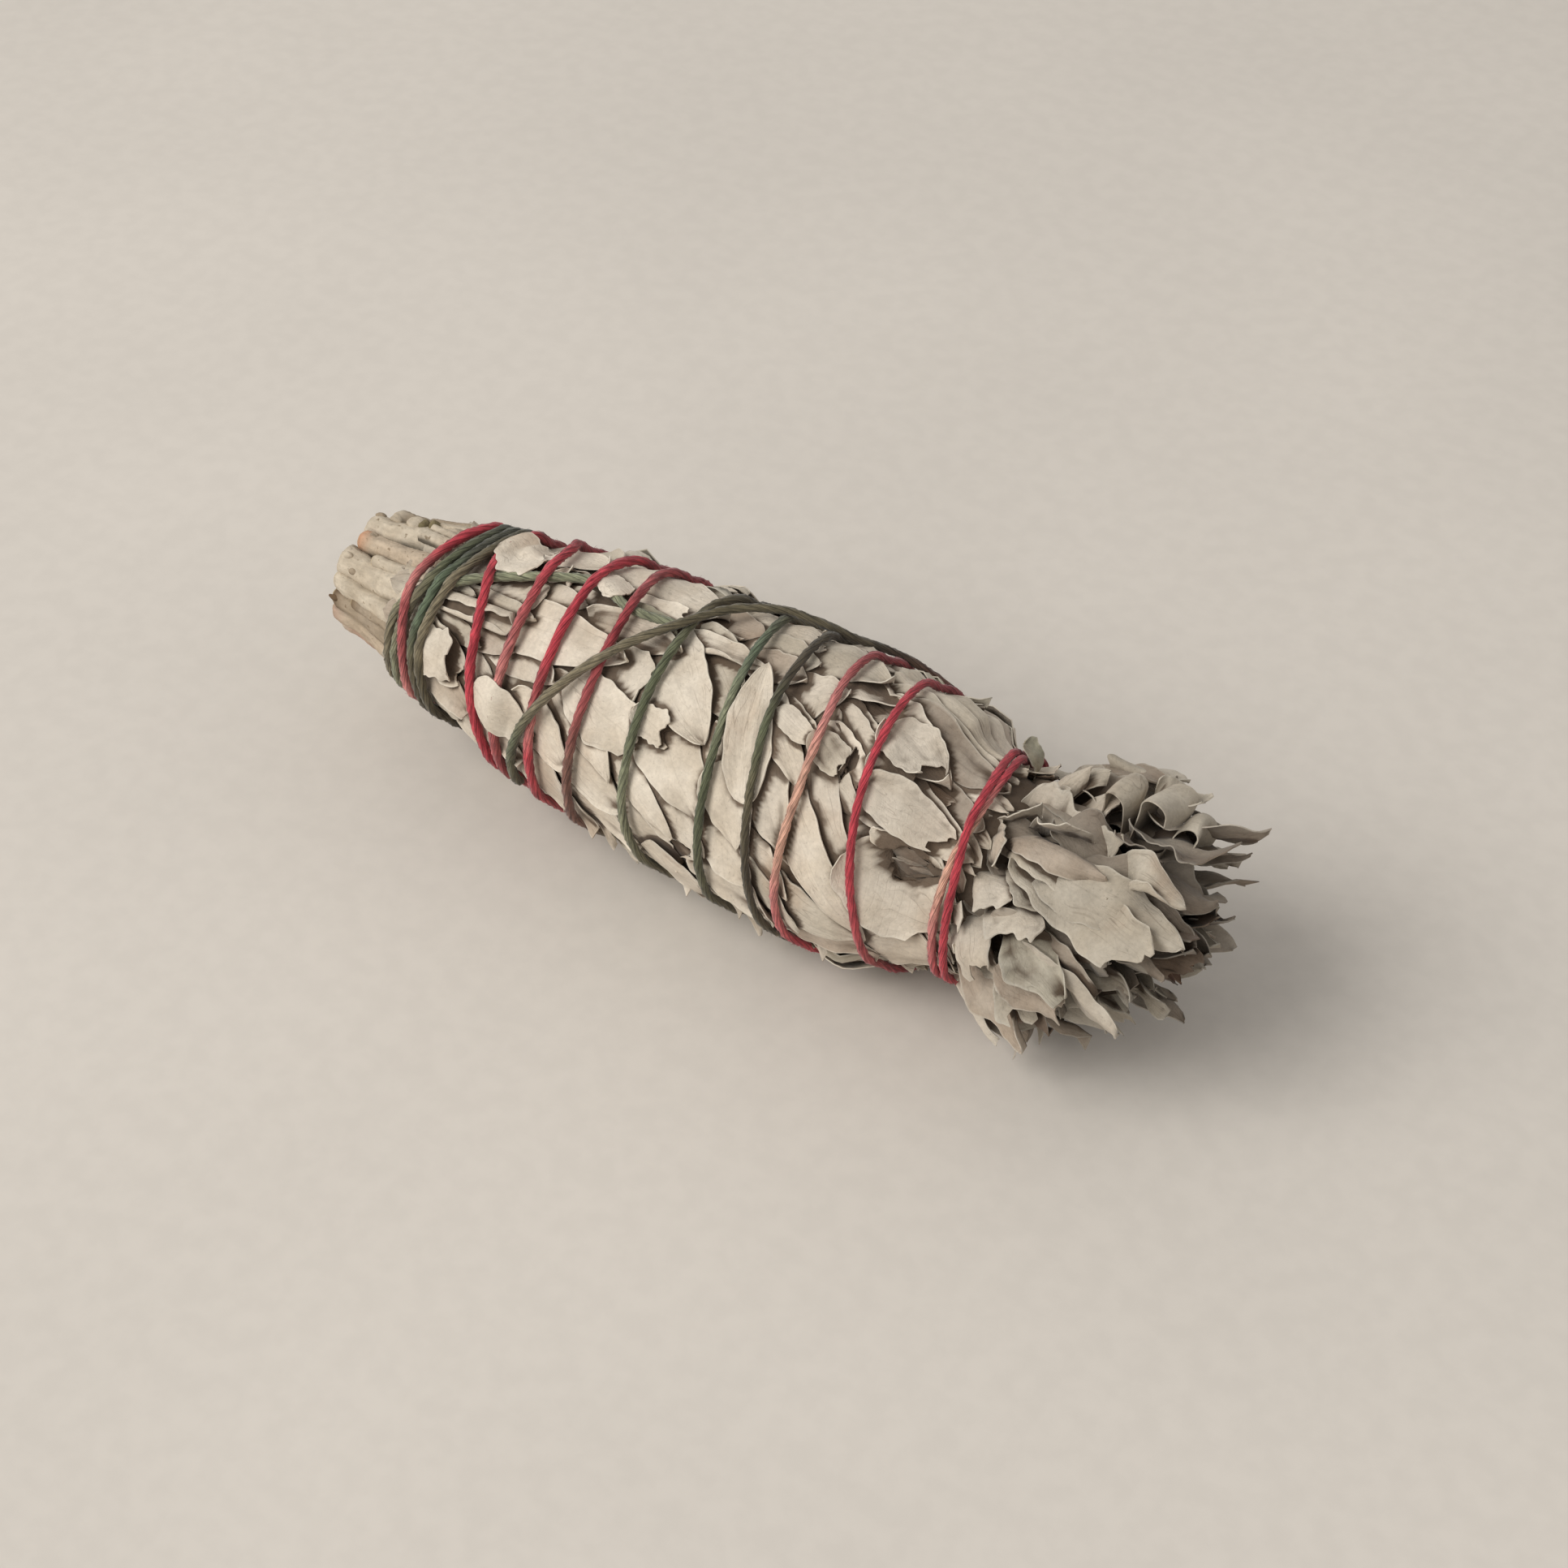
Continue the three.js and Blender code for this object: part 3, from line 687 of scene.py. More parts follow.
def leafShape(leaf, u, v):  # its own seed shifts every wave, so that no two leaves are alike
    kind = {**plainLeaf, **leafKinds[leaf["kind"]]}
    if "flare" in leaf:
        kind["wave"] *= tip["moreWave"]
        for name, more in tip["relief"].items():
            kind[name] += more
    seed = leaf["seed"]
    perDegree = math.pi / 180 * leaf["around"]
    runStation = leaf["to"][0] - leaf["from"][0]
    runAround = (leaf["to"][1] - leaf["from"][1]) * perDegree
    length = math.hypot(runStation, runAround)
    alongStation, alongAround = runStation / length, runAround / length
    side = np.sign(v)
    share = u * (1 - kind["tear"] * ragged(v * 1.7, seed))
    grow, taper = kind["outline"]
    widest = grow / (grow + taper)
    swell = (np.clip(share, 0, 1) / widest) ** grow * (np.clip(1 - share, 0, 1) / (1 - widest)) ** taper
    half = leaf["width"] / 2 * (0.12 * (1 - share) ** 2 + swell)
    edge = np.sin(share * 8 + seed + side * 1.7) + 0.5 * np.sin(share * 19 + seed * 2.1 + side)
    edge = edge + 0.35 * np.sin(share * 37 + seed * 3 + side * 2)
    edge = 1 + (0.03 + 0.05 * kind["fray"]) * edge
    along = share * length
    across = v * half * edge
    edgeWave = 0.65 + 0.35 * np.sin(share * 7 + seed * 1.3 + side * 2)
    height = sum((
        kind["arch"] * (1 - np.abs(v) ** 1.6),
        kind["roof"] * (1 - np.abs(v + 0.25 * math.sin(seed)) ** 0.9),
        kind["pleat"] * np.abs(np.sin(1.5 * math.pi * (v + 0.12 * math.sin(seed * 3)))),
        kind["edges"] * np.abs(v) ** 3 * edgeWave,
        -kind["groove"] * np.exp(-(v / 0.12) ** 2) * np.clip(1.2 - share, 0, 1),
        kind["lean"] * v * math.cos(seed * 5),
        kind["twist"] * v * share ** 1.5 * math.cos(seed * 9),
        kind["wave"] * v * v * np.sin(along * 0.55 + seed + side),
        kind["crumple"] * creases(along, across, seed),
        0.05 * np.sin(v * 11 + seed * 4 + share * 3),
        0.10 * np.abs(np.sin(across * 1.1 + 0.35 * along * math.cos(seed * 3) + seed * 6)),
        kind["tipLift"] * np.clip((share - 0.65) / 0.35, 0, 1) ** 2,
    ))
    for rollSide, radius, turned, least in kind["roll"]:
        start = np.maximum(half * edge - radius * math.radians(turned), least * half)
        kept, raised = curlOver(across * rollSide, start, radius, turned)
        across = kept * rollSide
        height = height + raised
    if kind["tipRoll"]:
        radius, turned = kind["tipRoll"]
        along, raised = curlOver(along, length - radius * math.radians(turned), radius, turned)
        height = height + raised
    across = across + leaf["bend"] * np.sin(math.pi * share)
    station = leaf["from"][0] + alongStation * along - alongAround * across
    degrees = leaf["from"][1] + (alongAround * along + alongStation * across) / perDegree
    return station, degrees, height, share


def layLeaf(leaf, heights):  # rests the leaf, stiff as it is, on what lies there and adds it to the map
    broad = softenMap(spreadMap(heights, 2), 2)
    uFine, vFine = meshOf(89, 30)
    station, degrees, height, share = leafShape(leaf, uFine, vFine)
    under = readMap(broad, station, degrees).reshape(-1)

    def bending(u, v):
        return np.stack([1 + 0 * u, u, u * u, u ** 3, v, u * v, v * v], axis=-1)

    terms = bending(share, vFine).reshape(-1, 7)
    fit = np.linalg.lstsq(terms, under, rcond=None)[0]
    fit[0] += np.quantile(under - terms @ fit, leafBearing) + layingGap + leafThickness

    def rest(v, share, height, station, degrees):
        give = readMap(broad, station, degrees) + layingGap + leafThickness
        return (bending(share, v) @ fit) * leafStiffness + give * (1 - leafStiffness) + height

    raiseMap(heights, station, degrees, rest(vFine, share, height, station, degrees))
    u, v = meshOf(*leaf["steps"])
    leaf["station"], leaf["degrees"], height, leaf["share"] = leafShape(leaf, u, v)
    leaf["own"] = height
    leaf["height"] = rest(v, leaf["share"], height, leaf["station"], leaf["degrees"])


def pressPile(leaves, heights, kept):  # winding presses the pile even; kept is the share of relief left
    even = softenMap(softenMap(heights, 6), 4)
    lowered = (softenMap(heights, 3) - even) * (kept - 1)
    for leaf in leaves:
        leaf["height"] = leaf["height"] + readMap(lowered, leaf["station"], leaf["degrees"])
    heights += lowered


# start and end are the leaf's base and tip, as (station, angle); over names the turns it lies over.
def newLeaf(start, end, width, kind="plain", tint="pale", bend=0.0, over=(), steps=(40, 12), seed=None):
    return {
        "from": start, "to": end, "width": width, "kind": kind, "tint": tint, "bend": bend,
        "over": over, "steps": steps, "layer": None, "torn": None, "proudest": proudest["wound"],
        "around": float(smoothTable(bundle["outline"], (start[0] + end[0]) / 2)),
        "seed": seed if seed is not None else (start[0] * 1.37 + start[1] * 0.73 + width) % 6.28,
    }


# Leaves on the front and top, lowest first in each stretch: from (station, angle) to (station, angle),
# width, kind if not plain, tint if not pale. Each stretch lies over the one nearer the tip.
frontLeaves = [
    # between the stems and the fifth turn
    (
        ((-57, 84), (-43, 86), 6, "plain", "grey"), ((-57, 30), (-42, 34), 6, "plain", "tan"),
        ((-56, 52), (-42, 60), 6, "ridge", "grey"), ((-56, -8), (-40, -10), 7, "plain", "grey"),
        ((-50, 8), (-37, 3), 7, "plain", "tan"), ((-49, 40), (-37, 38), 4.5, "ridge", "grey"),
        ((-48, 52), (-33, 54), 7.5, "rolled"), ((-51, 25), (-39, 20), 8.5, "crumpled"),
        ((-50, 104), (-37, 107), 7, "plain", "grey"), ((-49, 77), (-41, 76), 4.5, "crumpled", "dark"),
    ),
    # fifth to seventh turn
    (
        ((-44, -4), (-29, -12), 7), ((-44, 30), (-31, 22), 6, "plain", "grey"),
        ((-43, 44), (-31, 43), 5, "ridge", "tan"), ((-31, 74), (-43, 62), 6),
        ((-44, 59), (-30, 60), 4.5, "ridge", "grey"), ((-46, 92), (-34.5, 88), 9, "crumpled"),
        ((-40, 114), (-27, 112), 6, "plain", "grey"), ((-39, 101), (-24.5, 102), 6, "tipCurl"),
        ((-37, 10), (-26, -4), 7.5),
    ),
    # seventh to eighth turn
    (
        ((-35, 92), (-27, 90), 5, "curled", "dark"), ((-38, 78), (-27, 84), 7, "tipCurl"),
        ((-36, 70), (-24, 75), 6), ((-35, 34), (-24, 27), 7, "plain", "grey"), ((-36, 46), (-22, 40), 7),
        ((-38, 56), (-13, 60), 9, "flat"), ((-30, -8), (-20, -26), 7, "plain", "tan"),
        ((-27, 3), (-13, -22), 8), ((-26, 22), (-17, 8), 8),
    ),
    # eighth to tenth turn
    (
        ((-25, 84), (-17, 78), 4, "ridge", "green"), ((-30, 73), (-15, 77), 7.5),
        ((-26, 96), (-12, 92), 6, "plain", "grey"), ((-20, 98), (-5, 97), 10, "flat"),
        ((-18, 87), (-8, 86), 3.5, "torn"), ((-16, 81), (-9, 79), 3.0, "crumpled", "green"),
        ((-19, 72), (-7, 73), 5.5), ((-23, 50), (-12, 42), 7, "flat"),
        ((-17, 52), (-8, 60), 8.5, "torn"), ((-17, -1), (-11, -32), 4.5, "ridge"),
        ((-18, 2), (-5, -18), 7.5), ((-21, 20), (-7, 2), 9.5, "flat"),
        ((-20, 36), (-9, 14), 5.5, "ridge"), ((-17, 40), (-6, 32), 9, "torn"),
    ),
    # tenth to eleventh turn
    (
        ((-10, 98), (1, 96), 7, "plain", "tan"), ((-9, 85), (1, 84), 5, "torn", "tan"),
        ((-9, 0), (2, -16), 9), ((-3, 14), (8, 0), 7, "torn"), ((0, -16), (11, -32), 7),
        ((-10, 24), (2, 3), 5, "ridge"), ((-9, 48), (0, 26), 9, "flat"),
        ((-5, 44), (6, 14), 10, "ridge"), ((-4, 78), (6, 56), 8, "plain", "grey"),
        ((-10, 49), (-0.5, 42), 8, "torn"), ((-9, 79), (5, 81), 4.5, "curledLow"),
        ((-10, 72), (3, 44), 10, "flat"),
    ),
    # eleventh to twelfth turn
    (
        ((0, 103), (10, 104), 5, "torn"), ((1, 91), (11, 93), 7, "plain", "grey"),
        ((4, 84), (11, 84), 6, "plain", "tan"), ((8, 0), (18, -20), 8), ((6, 16), (15, 0), 8.5),
        ((6.5, 46), (11.5, 28), 6), ((5.5, 42), (13.5, 10), 8, "flat"),
    ),
    # twelfth to thirteenth turn
    (
        ((9, 102), (21, 100), 8, "plain", "grey"), ((8, 76), (17.5, 86), 8.5, "flat"),
        ((10, 71), (18, 62), 4.5, "ridge"), ((12, 16), (21, 2), 6),
        ((14, 4), (23, -12), 5, "plain", "grey"), ((8.5, 58), (19, 18), 9, "flat"),
        ((9, 68), (19, 44), 5, "ridge"),
    ),
    # thirteenth to fourteenth turn
    (
        ((21, -6), (33, -22), 8, "plain", "tan"), ((18, 2), (31, -10), 7, "ridge", "grey"),
        ((15, 88), (25, 84), 4, "torn", "dark"), ((17.5, 82), (25, 72), 5),
        ((19, 76), (26, 62), 6, "torn"), ((16.5, 71), (20.5, 77), 5, "tipCurl"),
        ((18.5, 66), (26, 54), 7, "torn"), ((18, 60), (27, 44), 5.5, "ridge", "grey"),
        ((12, 99), (24, 94), 10, "curled"), ((19, 50), (29, 8), 7.5),
        ((18.5, 36), (32, -8), 6.5, "ridge"),
    ),
    # fourteenth turn to the neck
    (
        ((24, 118), (41, 112), 6, "ridge", "grey"), ((25, 108), (42, 104), 5.5, "ridge", "grey"),
        ((25, 100), (42, 96), 5, "ridge", "grey"), ((26, 92), (42, 88), 7, "trough", "dark"),
        ((30, 34), (43, 20), 8, "crumpled", "brown"), ((31, 70), (42, 64), 8, "plain", "dark"),
        ((28, 44), (36, 40), 5, "torn", "grey"), ((27, 56), (34, 44), 6.5, "crumpled"),
        ((27, 34), (44, 2), 15, "torn"), ((30, -6), (44, -24), 12), ((25, 70), (33, 62), 8.5, "torn"),
        ((29, 62), (37, 70), 5.5, "torn", "tan"), ((26, 60), (43, 48), 10, "ridge"),
        ((22, 86), (35, 76), 10.5, "flat"),
    ),
]

# Leaves that lie over a turn of the thread, with those turns last.
leavesOverThread = [
    ((-36, 21), (-24, 12), 7, "flat", "pale", 0.0, (6,)),
    ((-43.6, 95), (-33.6, 85), 8.5, "blob", "pale", 0.0, (5, 0)),
    ((11.8, 31), (5.2, 82), 6.2, "ridge", "pale", 0.0, (10,)),
    ((-25, 90), (-19, 84), 4.5, "torn", "pale", 0.0, (0,)),
]

# Leaves that lie over all of their neighbours.
topLeaves = (
    ((-34, 84), (-30.5, 90), 3.4, "curled"), ((-50.5, 25), (-40, 22), 7.5, "blob"),
    ((-8.5, 45), (-2, 40), 5, "rag"), ((6, 41), (12.5, 13), 7.0, "ridge"),
    ((10, 68), (17.5, 62), 3.5, "slim"), ((25, 70), (31, 64), 6, "torn"),
    ((17, 66), (23.0, 57), 5, "torn", "grey"), ((24, 84), (33.5, 77), 8.5, "torn"),
    ((27.5, 31), (43, 11), 13, "torn"), ((29.5, 41), (34.5, 44), 3.6, "curled"),
    ((26, 58), (39.5, 51), 7, "torn"),
)

# Small brown leaves at the bottom of the largest hollow.
pitLeaves = (
    ((31, 38), (37, 35), 2.6, "rag", "brown"), ((32, 31), (38, 29), 2.6, "rag", "brown"),
    ((33, 35), (38, 31), 1.6, "crumpled", "tan"),
)

# Leaves placed at random. A pair of numbers holds the ends that a value is drawn between.
loose = {
    "seed": 17,
    "leftmost": -57.5,
    "neck": 44.0,
    "baseReach": 0.35,     # how much longer leaves run on, under the stretch nearer the butt
    "turned": 0.15,        # share of leaves with their tips towards the butt
    "bends": (-1.2, 1.2),
    "phases": (0, 6.28),
    "straightTo": -24,     # nearer the butt, leaves lie along the bundle
    "packedRelief": 0.3,   # share of the relief that is left after winding
    "frontRelief": 0.85,
    "tints": ("pale", "pale", "pale", "pale", "grey", "tan", "blue"),
}
broadKinds = ("plain", "plain", "flat", "ridge", "trough", "torn", "curled", "tipCurl", "crumpled", "pleat")
packedLeaves = {  # under the outer ones, row by row
    "count": 80, "perRow": 16, "first": -58, "rowStep": 18, "rowTurn": 11, "shift": (-3, 3),
    "turn": (-6, 6), "slants": (-0.3, 0.3), "lengths": (24, 30), "widths": (8, 10), "steps": (16, 5),
    "kinds": broadKinds,
}
stalkLeaves = {  # leaf stalks that end among the cut stems
    "count": 14, "first": -42, "shift": (-3, 3), "turn": (-5, 5), "lean": (-8, 8),
    "ends": (-59, -56), "widths": (4.5, 6.5), "steps": (40, 10),
    "kinds": ("stalk", "stalk", "ridge", "slim", "curled"), "tints": ("pale", "pale", "tan", "grey"),
}
underLeaves = {  # narrow folded leaves that show between the listed ones
    "count": 84, "stations": (-58, 28), "angles": (-44, 118), "straight": -0.08, "slants": (-0.9, -0.25),
    "lengths": (22, 34), "widths": (4.5, 7.5), "steps": (26, 7),
    "kinds": ("ridge", "pleat", "slim", "slim", "curled", "curledLow", "plain"),
}
backLeaves = {  # all round the rest of the bundle
    "count": 120, "stations": (-60, 26), "angles": (112.0, 338.0), "straight": (-0.15, 0.15),
    "slants": (-0.7, 0.1), "lengths": (22, 38), "widths": (6.5, 11), "steps": (24, 7), "kinds": broadKinds,
}


def randomLeaf(rng, station, degrees, slant, group):
    length, width = rng.uniform(*group["lengths"]), rng.uniform(*group["widths"])
    reach = max(float(smoothTable(bundle["outline"], station)), 10)
    start = (station, degrees)
    end = (min(station + length, loose["neck"]), degrees + slant * length / reach * perRadian)
    if rng.random() < loose["turned"]:
        start, end = end, start
    kind, tint = rng.choice(group["kinds"]), rng.choice(loose["tints"])
    bend, seed = rng.uniform(*loose["bends"]), rng.uniform(*loose["phases"])
    return newLeaf(start, end, width, kind, tint, bend, steps=group["steps"], seed=seed)


def layBody():
    rng = random.Random(loose["seed"])
    heights = np.zeros((mapRows, mapColumns))
    leaves = []

    def lay(leaf, layer="outside"):
        leaf["layer"] = layer
        for end in ("from", "to"):
            leaf[end] = (max(leaf[end][0], loose["leftmost"]), leaf[end][1])
        layLeaf(leaf, heights)
        leaves.append(leaf)

    group = packedLeaves
    for count in range(group["count"]):
        row, place = divmod(count, group["perRow"])
        station = group["first"] + row * group["rowStep"] + rng.uniform(*group["shift"])
        degrees = place * 360 / group["perRow"] + row * group["rowTurn"] + rng.uniform(*group["turn"])
        lay(randomLeaf(rng, station, degrees, rng.uniform(*group["slants"]), group), "inside")
    pressPile(leaves, heights, loose["packedRelief"])
    group = stalkLeaves
    for count in range(group["count"]):
        degrees = (count + 0.5) * 360 / group["count"] + rng.uniform(*group["turn"])
        start = (group["first"] + rng.uniform(*group["shift"]), degrees + rng.uniform(*group["lean"]))
        end = (rng.uniform(*group["ends"]), degrees)
        width = rng.uniform(*group["widths"])
        kind, tint = rng.choice(group["kinds"]), rng.choice(group["tints"])
        seed = rng.uniform(*loose["phases"])
        lay(newLeaf(start, end, width, kind, tint, steps=group["steps"], seed=seed))
    pressPile(leaves, heights, loose["packedRelief"])
    outer = []
    for group in (underLeaves, backLeaves):
        for count in range(group["count"]):
            station = rng.uniform(*group["stations"])
            slant = group["straight"] if station < loose["straightTo"] else group["slants"]
            if isinstance(slant, tuple):
                slant = rng.uniform(*slant)
            degrees = rng.uniform(*group["angles"])
            outer.append(randomLeaf(rng, station, degrees, slant, group))
    for leaf in sorted(outer, key=lambda leaf: -min(leaf["from"][0], leaf["to"][0])):
        leaf["proudest"] = proudest["loose"]
        lay(leaf)
    pressPile(leaves, heights, loose["packedRelief"])
    for stretch in reversed(frontLeaves):
        for start, end, *rest in stretch:
            reach = loose["baseReach"] if start[0] < end[0] else 0.0
            tucked = tuple(start[k] + (start[k] - end[k]) * reach for k in (0, 1))
            lay(newLeaf(tucked, end, *rest))
        pressPile(leaves, heights, loose["frontRelief"])
    for place, rows in (("top", topLeaves), ("overThread", leavesOverThread)):
        for row in rows:
            leaf = newLeaf(*row)
            leaf["proudest"] = proudest["blob" if leaf["kind"] == "blob" else place]
            lay(leaf)
    for row in pitLeaves:
        lay(newLeaf(*row), "pit")
    return leaves, heights


bodyLeaves, bodyHeights = layBody()
envelopeMap = softenMap(softenMap(spreadMap(bodyHeights, 4), 4), 3)
topMap = softenMap(softenMap(bodyHeights, 3), 3)
print("laid", len(bodyLeaves), "body leaves, deepest pile", round(float(bodyHeights.max()), 1), "mm")


def coveredShare(heights, leaf):  # painted shade: 1 where another leaf lies over this one or beside it
    over = readMap(softenMap(heights, 1), leaf["station"], leaf["degrees"]) - leaf["height"]
    return smoothStep(pinch["coverFrom"], pinch["coverFull"], over)


# Hollows where leaves are torn away: station, angle, half length, half width, depth; the largest first.
pits = (
    (35.5, 33.0, 3.6, 2.6, 2.8),
    (3.2, -1.0, 1.8, 1.2, 1.6),
    (-38.8, 21.0, 1.2, 1.1, 1.3),
    (-35.2, 92.0, 1.3, 0.9, 1.4),
    (-27.5, 88.0, 1.5, 0.7, 1.0),
    (-52.0, 25.0, 1.0, 1.2, 1.2),
    (22.8, 62.0, 0.7, 2.4, 1.2),
    (43.4, 22.0, 0.8, 2.0, 1.4),
)
pitLook = {
    "perDegree": 0.36,     # millimetres round the bundle for each degree
    "rimReach": 1.15,      # what lies this close below the edge is shaded
    "rimShade": 0.75,
    "floorShade": 0.55,
    "floorGap": 0.2,
    "floorRelief": 0.7,
}


def pitAway(station, degrees, middle, angle, halfLength, halfWidth):  # under 1 inside a hollow
    a = (station - middle) / halfLength
    b = (degrees - angle) * pitLook["perDegree"] / halfWidth
    turn = np.arctan2(b, a)
    return np.hypot(a, b) / (1 - 0.22 * np.sin(3 * turn + middle) - 0.14 * np.sin(8 * turn + angle))


def pileTop(leaf):  # radius of the uppermost leaves where this one lies
    height = readMap(topMap, leaf["station"], leaf["degrees"])
    return bodyRadius(leaf["station"], leaf["degrees"], height)


def tearLeaf(leaf, radius):  # moves what hangs over a hollow to its ragged edge
    top = pileTop(leaf)
    leaf["torn"] = np.zeros(radius.shape, bool)
    for *place, depth in pits:
        middle, angle = place[:2]
        away = pitAway(leaf["station"], leaf["degrees"], *place)
        inside = (away < 1) & (radius > top - depth)
        push = np.where(inside, 1 / np.maximum(away, 0.05), 1)
        leaf["station"] = middle + (leaf["station"] - middle) * push
        leaf["degrees"] = angle + (leaf["degrees"] - angle) * push
        leaf["torn"] |= inside
        below = (away < pitLook["rimReach"]) & ~inside & (radius < top - depth)
        shaded = np.maximum(leaf["covered"], pitLook["rimShade"])
        leaf["covered"] = np.where(below, shaded, leaf["covered"])


def bodyRadius(station, degrees, height, proud=proudest["wound"]):
    ceiling = readMap(ceilingMap, station, degrees)
    gain = readMap(gainMap, station, degrees)
    depth = readMap(envelopeMap, station, degrees) - height
    below = pinch["firm"] * np.log1p(np.maximum(depth, 0) / pinch["firm"])
    above = proud * (1 - np.exp(np.minimum(depth, 0) / proud))
    return ceiling - gain * (below - above)


def radiusOver(leaf, radius):  # carries a leaf over the turns that it covers
    floor = np.zeros((mapRows, mapColumns))
    gap = thread["radii"][0][1] + leafThickness + layingGap

    def carry(patch, away, middle):
        cone = middle + gap - 0.45 * np.maximum(away - 0.4, 0)
        floor[patch] = np.maximum(floor[patch], cone)

    nearThread(lambda k: int(routeTurn[k]) in leaf["over"], pinch["pileReach"], carry)
    return np.maximum(radius, readMap(softenMap(floor, 1), leaf["station"], leaf["degrees"]))


# The flared tip. Its leaves are less pressed than the wound ones.
tip = {
    "seed": 21,
    "moreWave": 1.3,
    "relief": {"crumple": 0.75, "wave": 0.4, "fray": 1.0, "roof": 0.25},  # added to the kind's own
    "ringSteps": (28, 8),
    "handSteps": (36, 12),
    "loopSteps": (14, 32),
    "seenFrom": -30,   # angles where the listed leaves take the outer ring's place
    "seenTo": 125,
    "packed": 0.85,    # share of a leaf's depth in the pile that is kept
    "narrowest": 2.2,
    "kinds": (
        "plain", "wavy", "wavy", "trough", "torn", "curled", "curledLow", "rag", "rag", "cupped", "hook",
    ),
    "tints": ("pale", "grey", "grey", "tan", "dark", "dark"),
}

# Nested shells that the leaves lie on, as radius by station.
tipShells = {
    "outer": ((38, 16.4), (44, 17.0), (50, 20.4), (55, 21.9), (63, 21.4), (80, 20.6)),
    "second": ((38, 14.4), (44, 15.0), (50, 17.4), (56, 19.0), (66, 19.4), (82, 18.8)),
    "third": ((38, 12.4), (46, 13.0), (54, 14.9), (64, 16.0), (82, 16.2)),
    "fourth": ((38, 9.6), (50, 10.4), (60, 11.6), (70, 12.6), (82, 13.0)),
    "fifth": ((38, 6.2), (56, 7.2), (66, 8.6), (82, 9.2)),
    "heart": ((38, 2.6), (56, 3.6), (66, 5.0), (82, 5.6)),
}

# Rings of tip leaves: shell, how many, base station, reach, extra reach on top, width.
tipRings = (
    ("heart", 6, 48, 70, 1.0, 6.0), ("fifth", 9, 47, 71, 1.5, 7.5), ("fourth", 11, 46, 70, 2.0, 8.0),
    ("third", 13, 44, 64, 4.0, 8.5), ("second", 14, 42, 61, 6.0, 8.5), ("outer", 15, 41, 57, 6.0, 8.5),
)

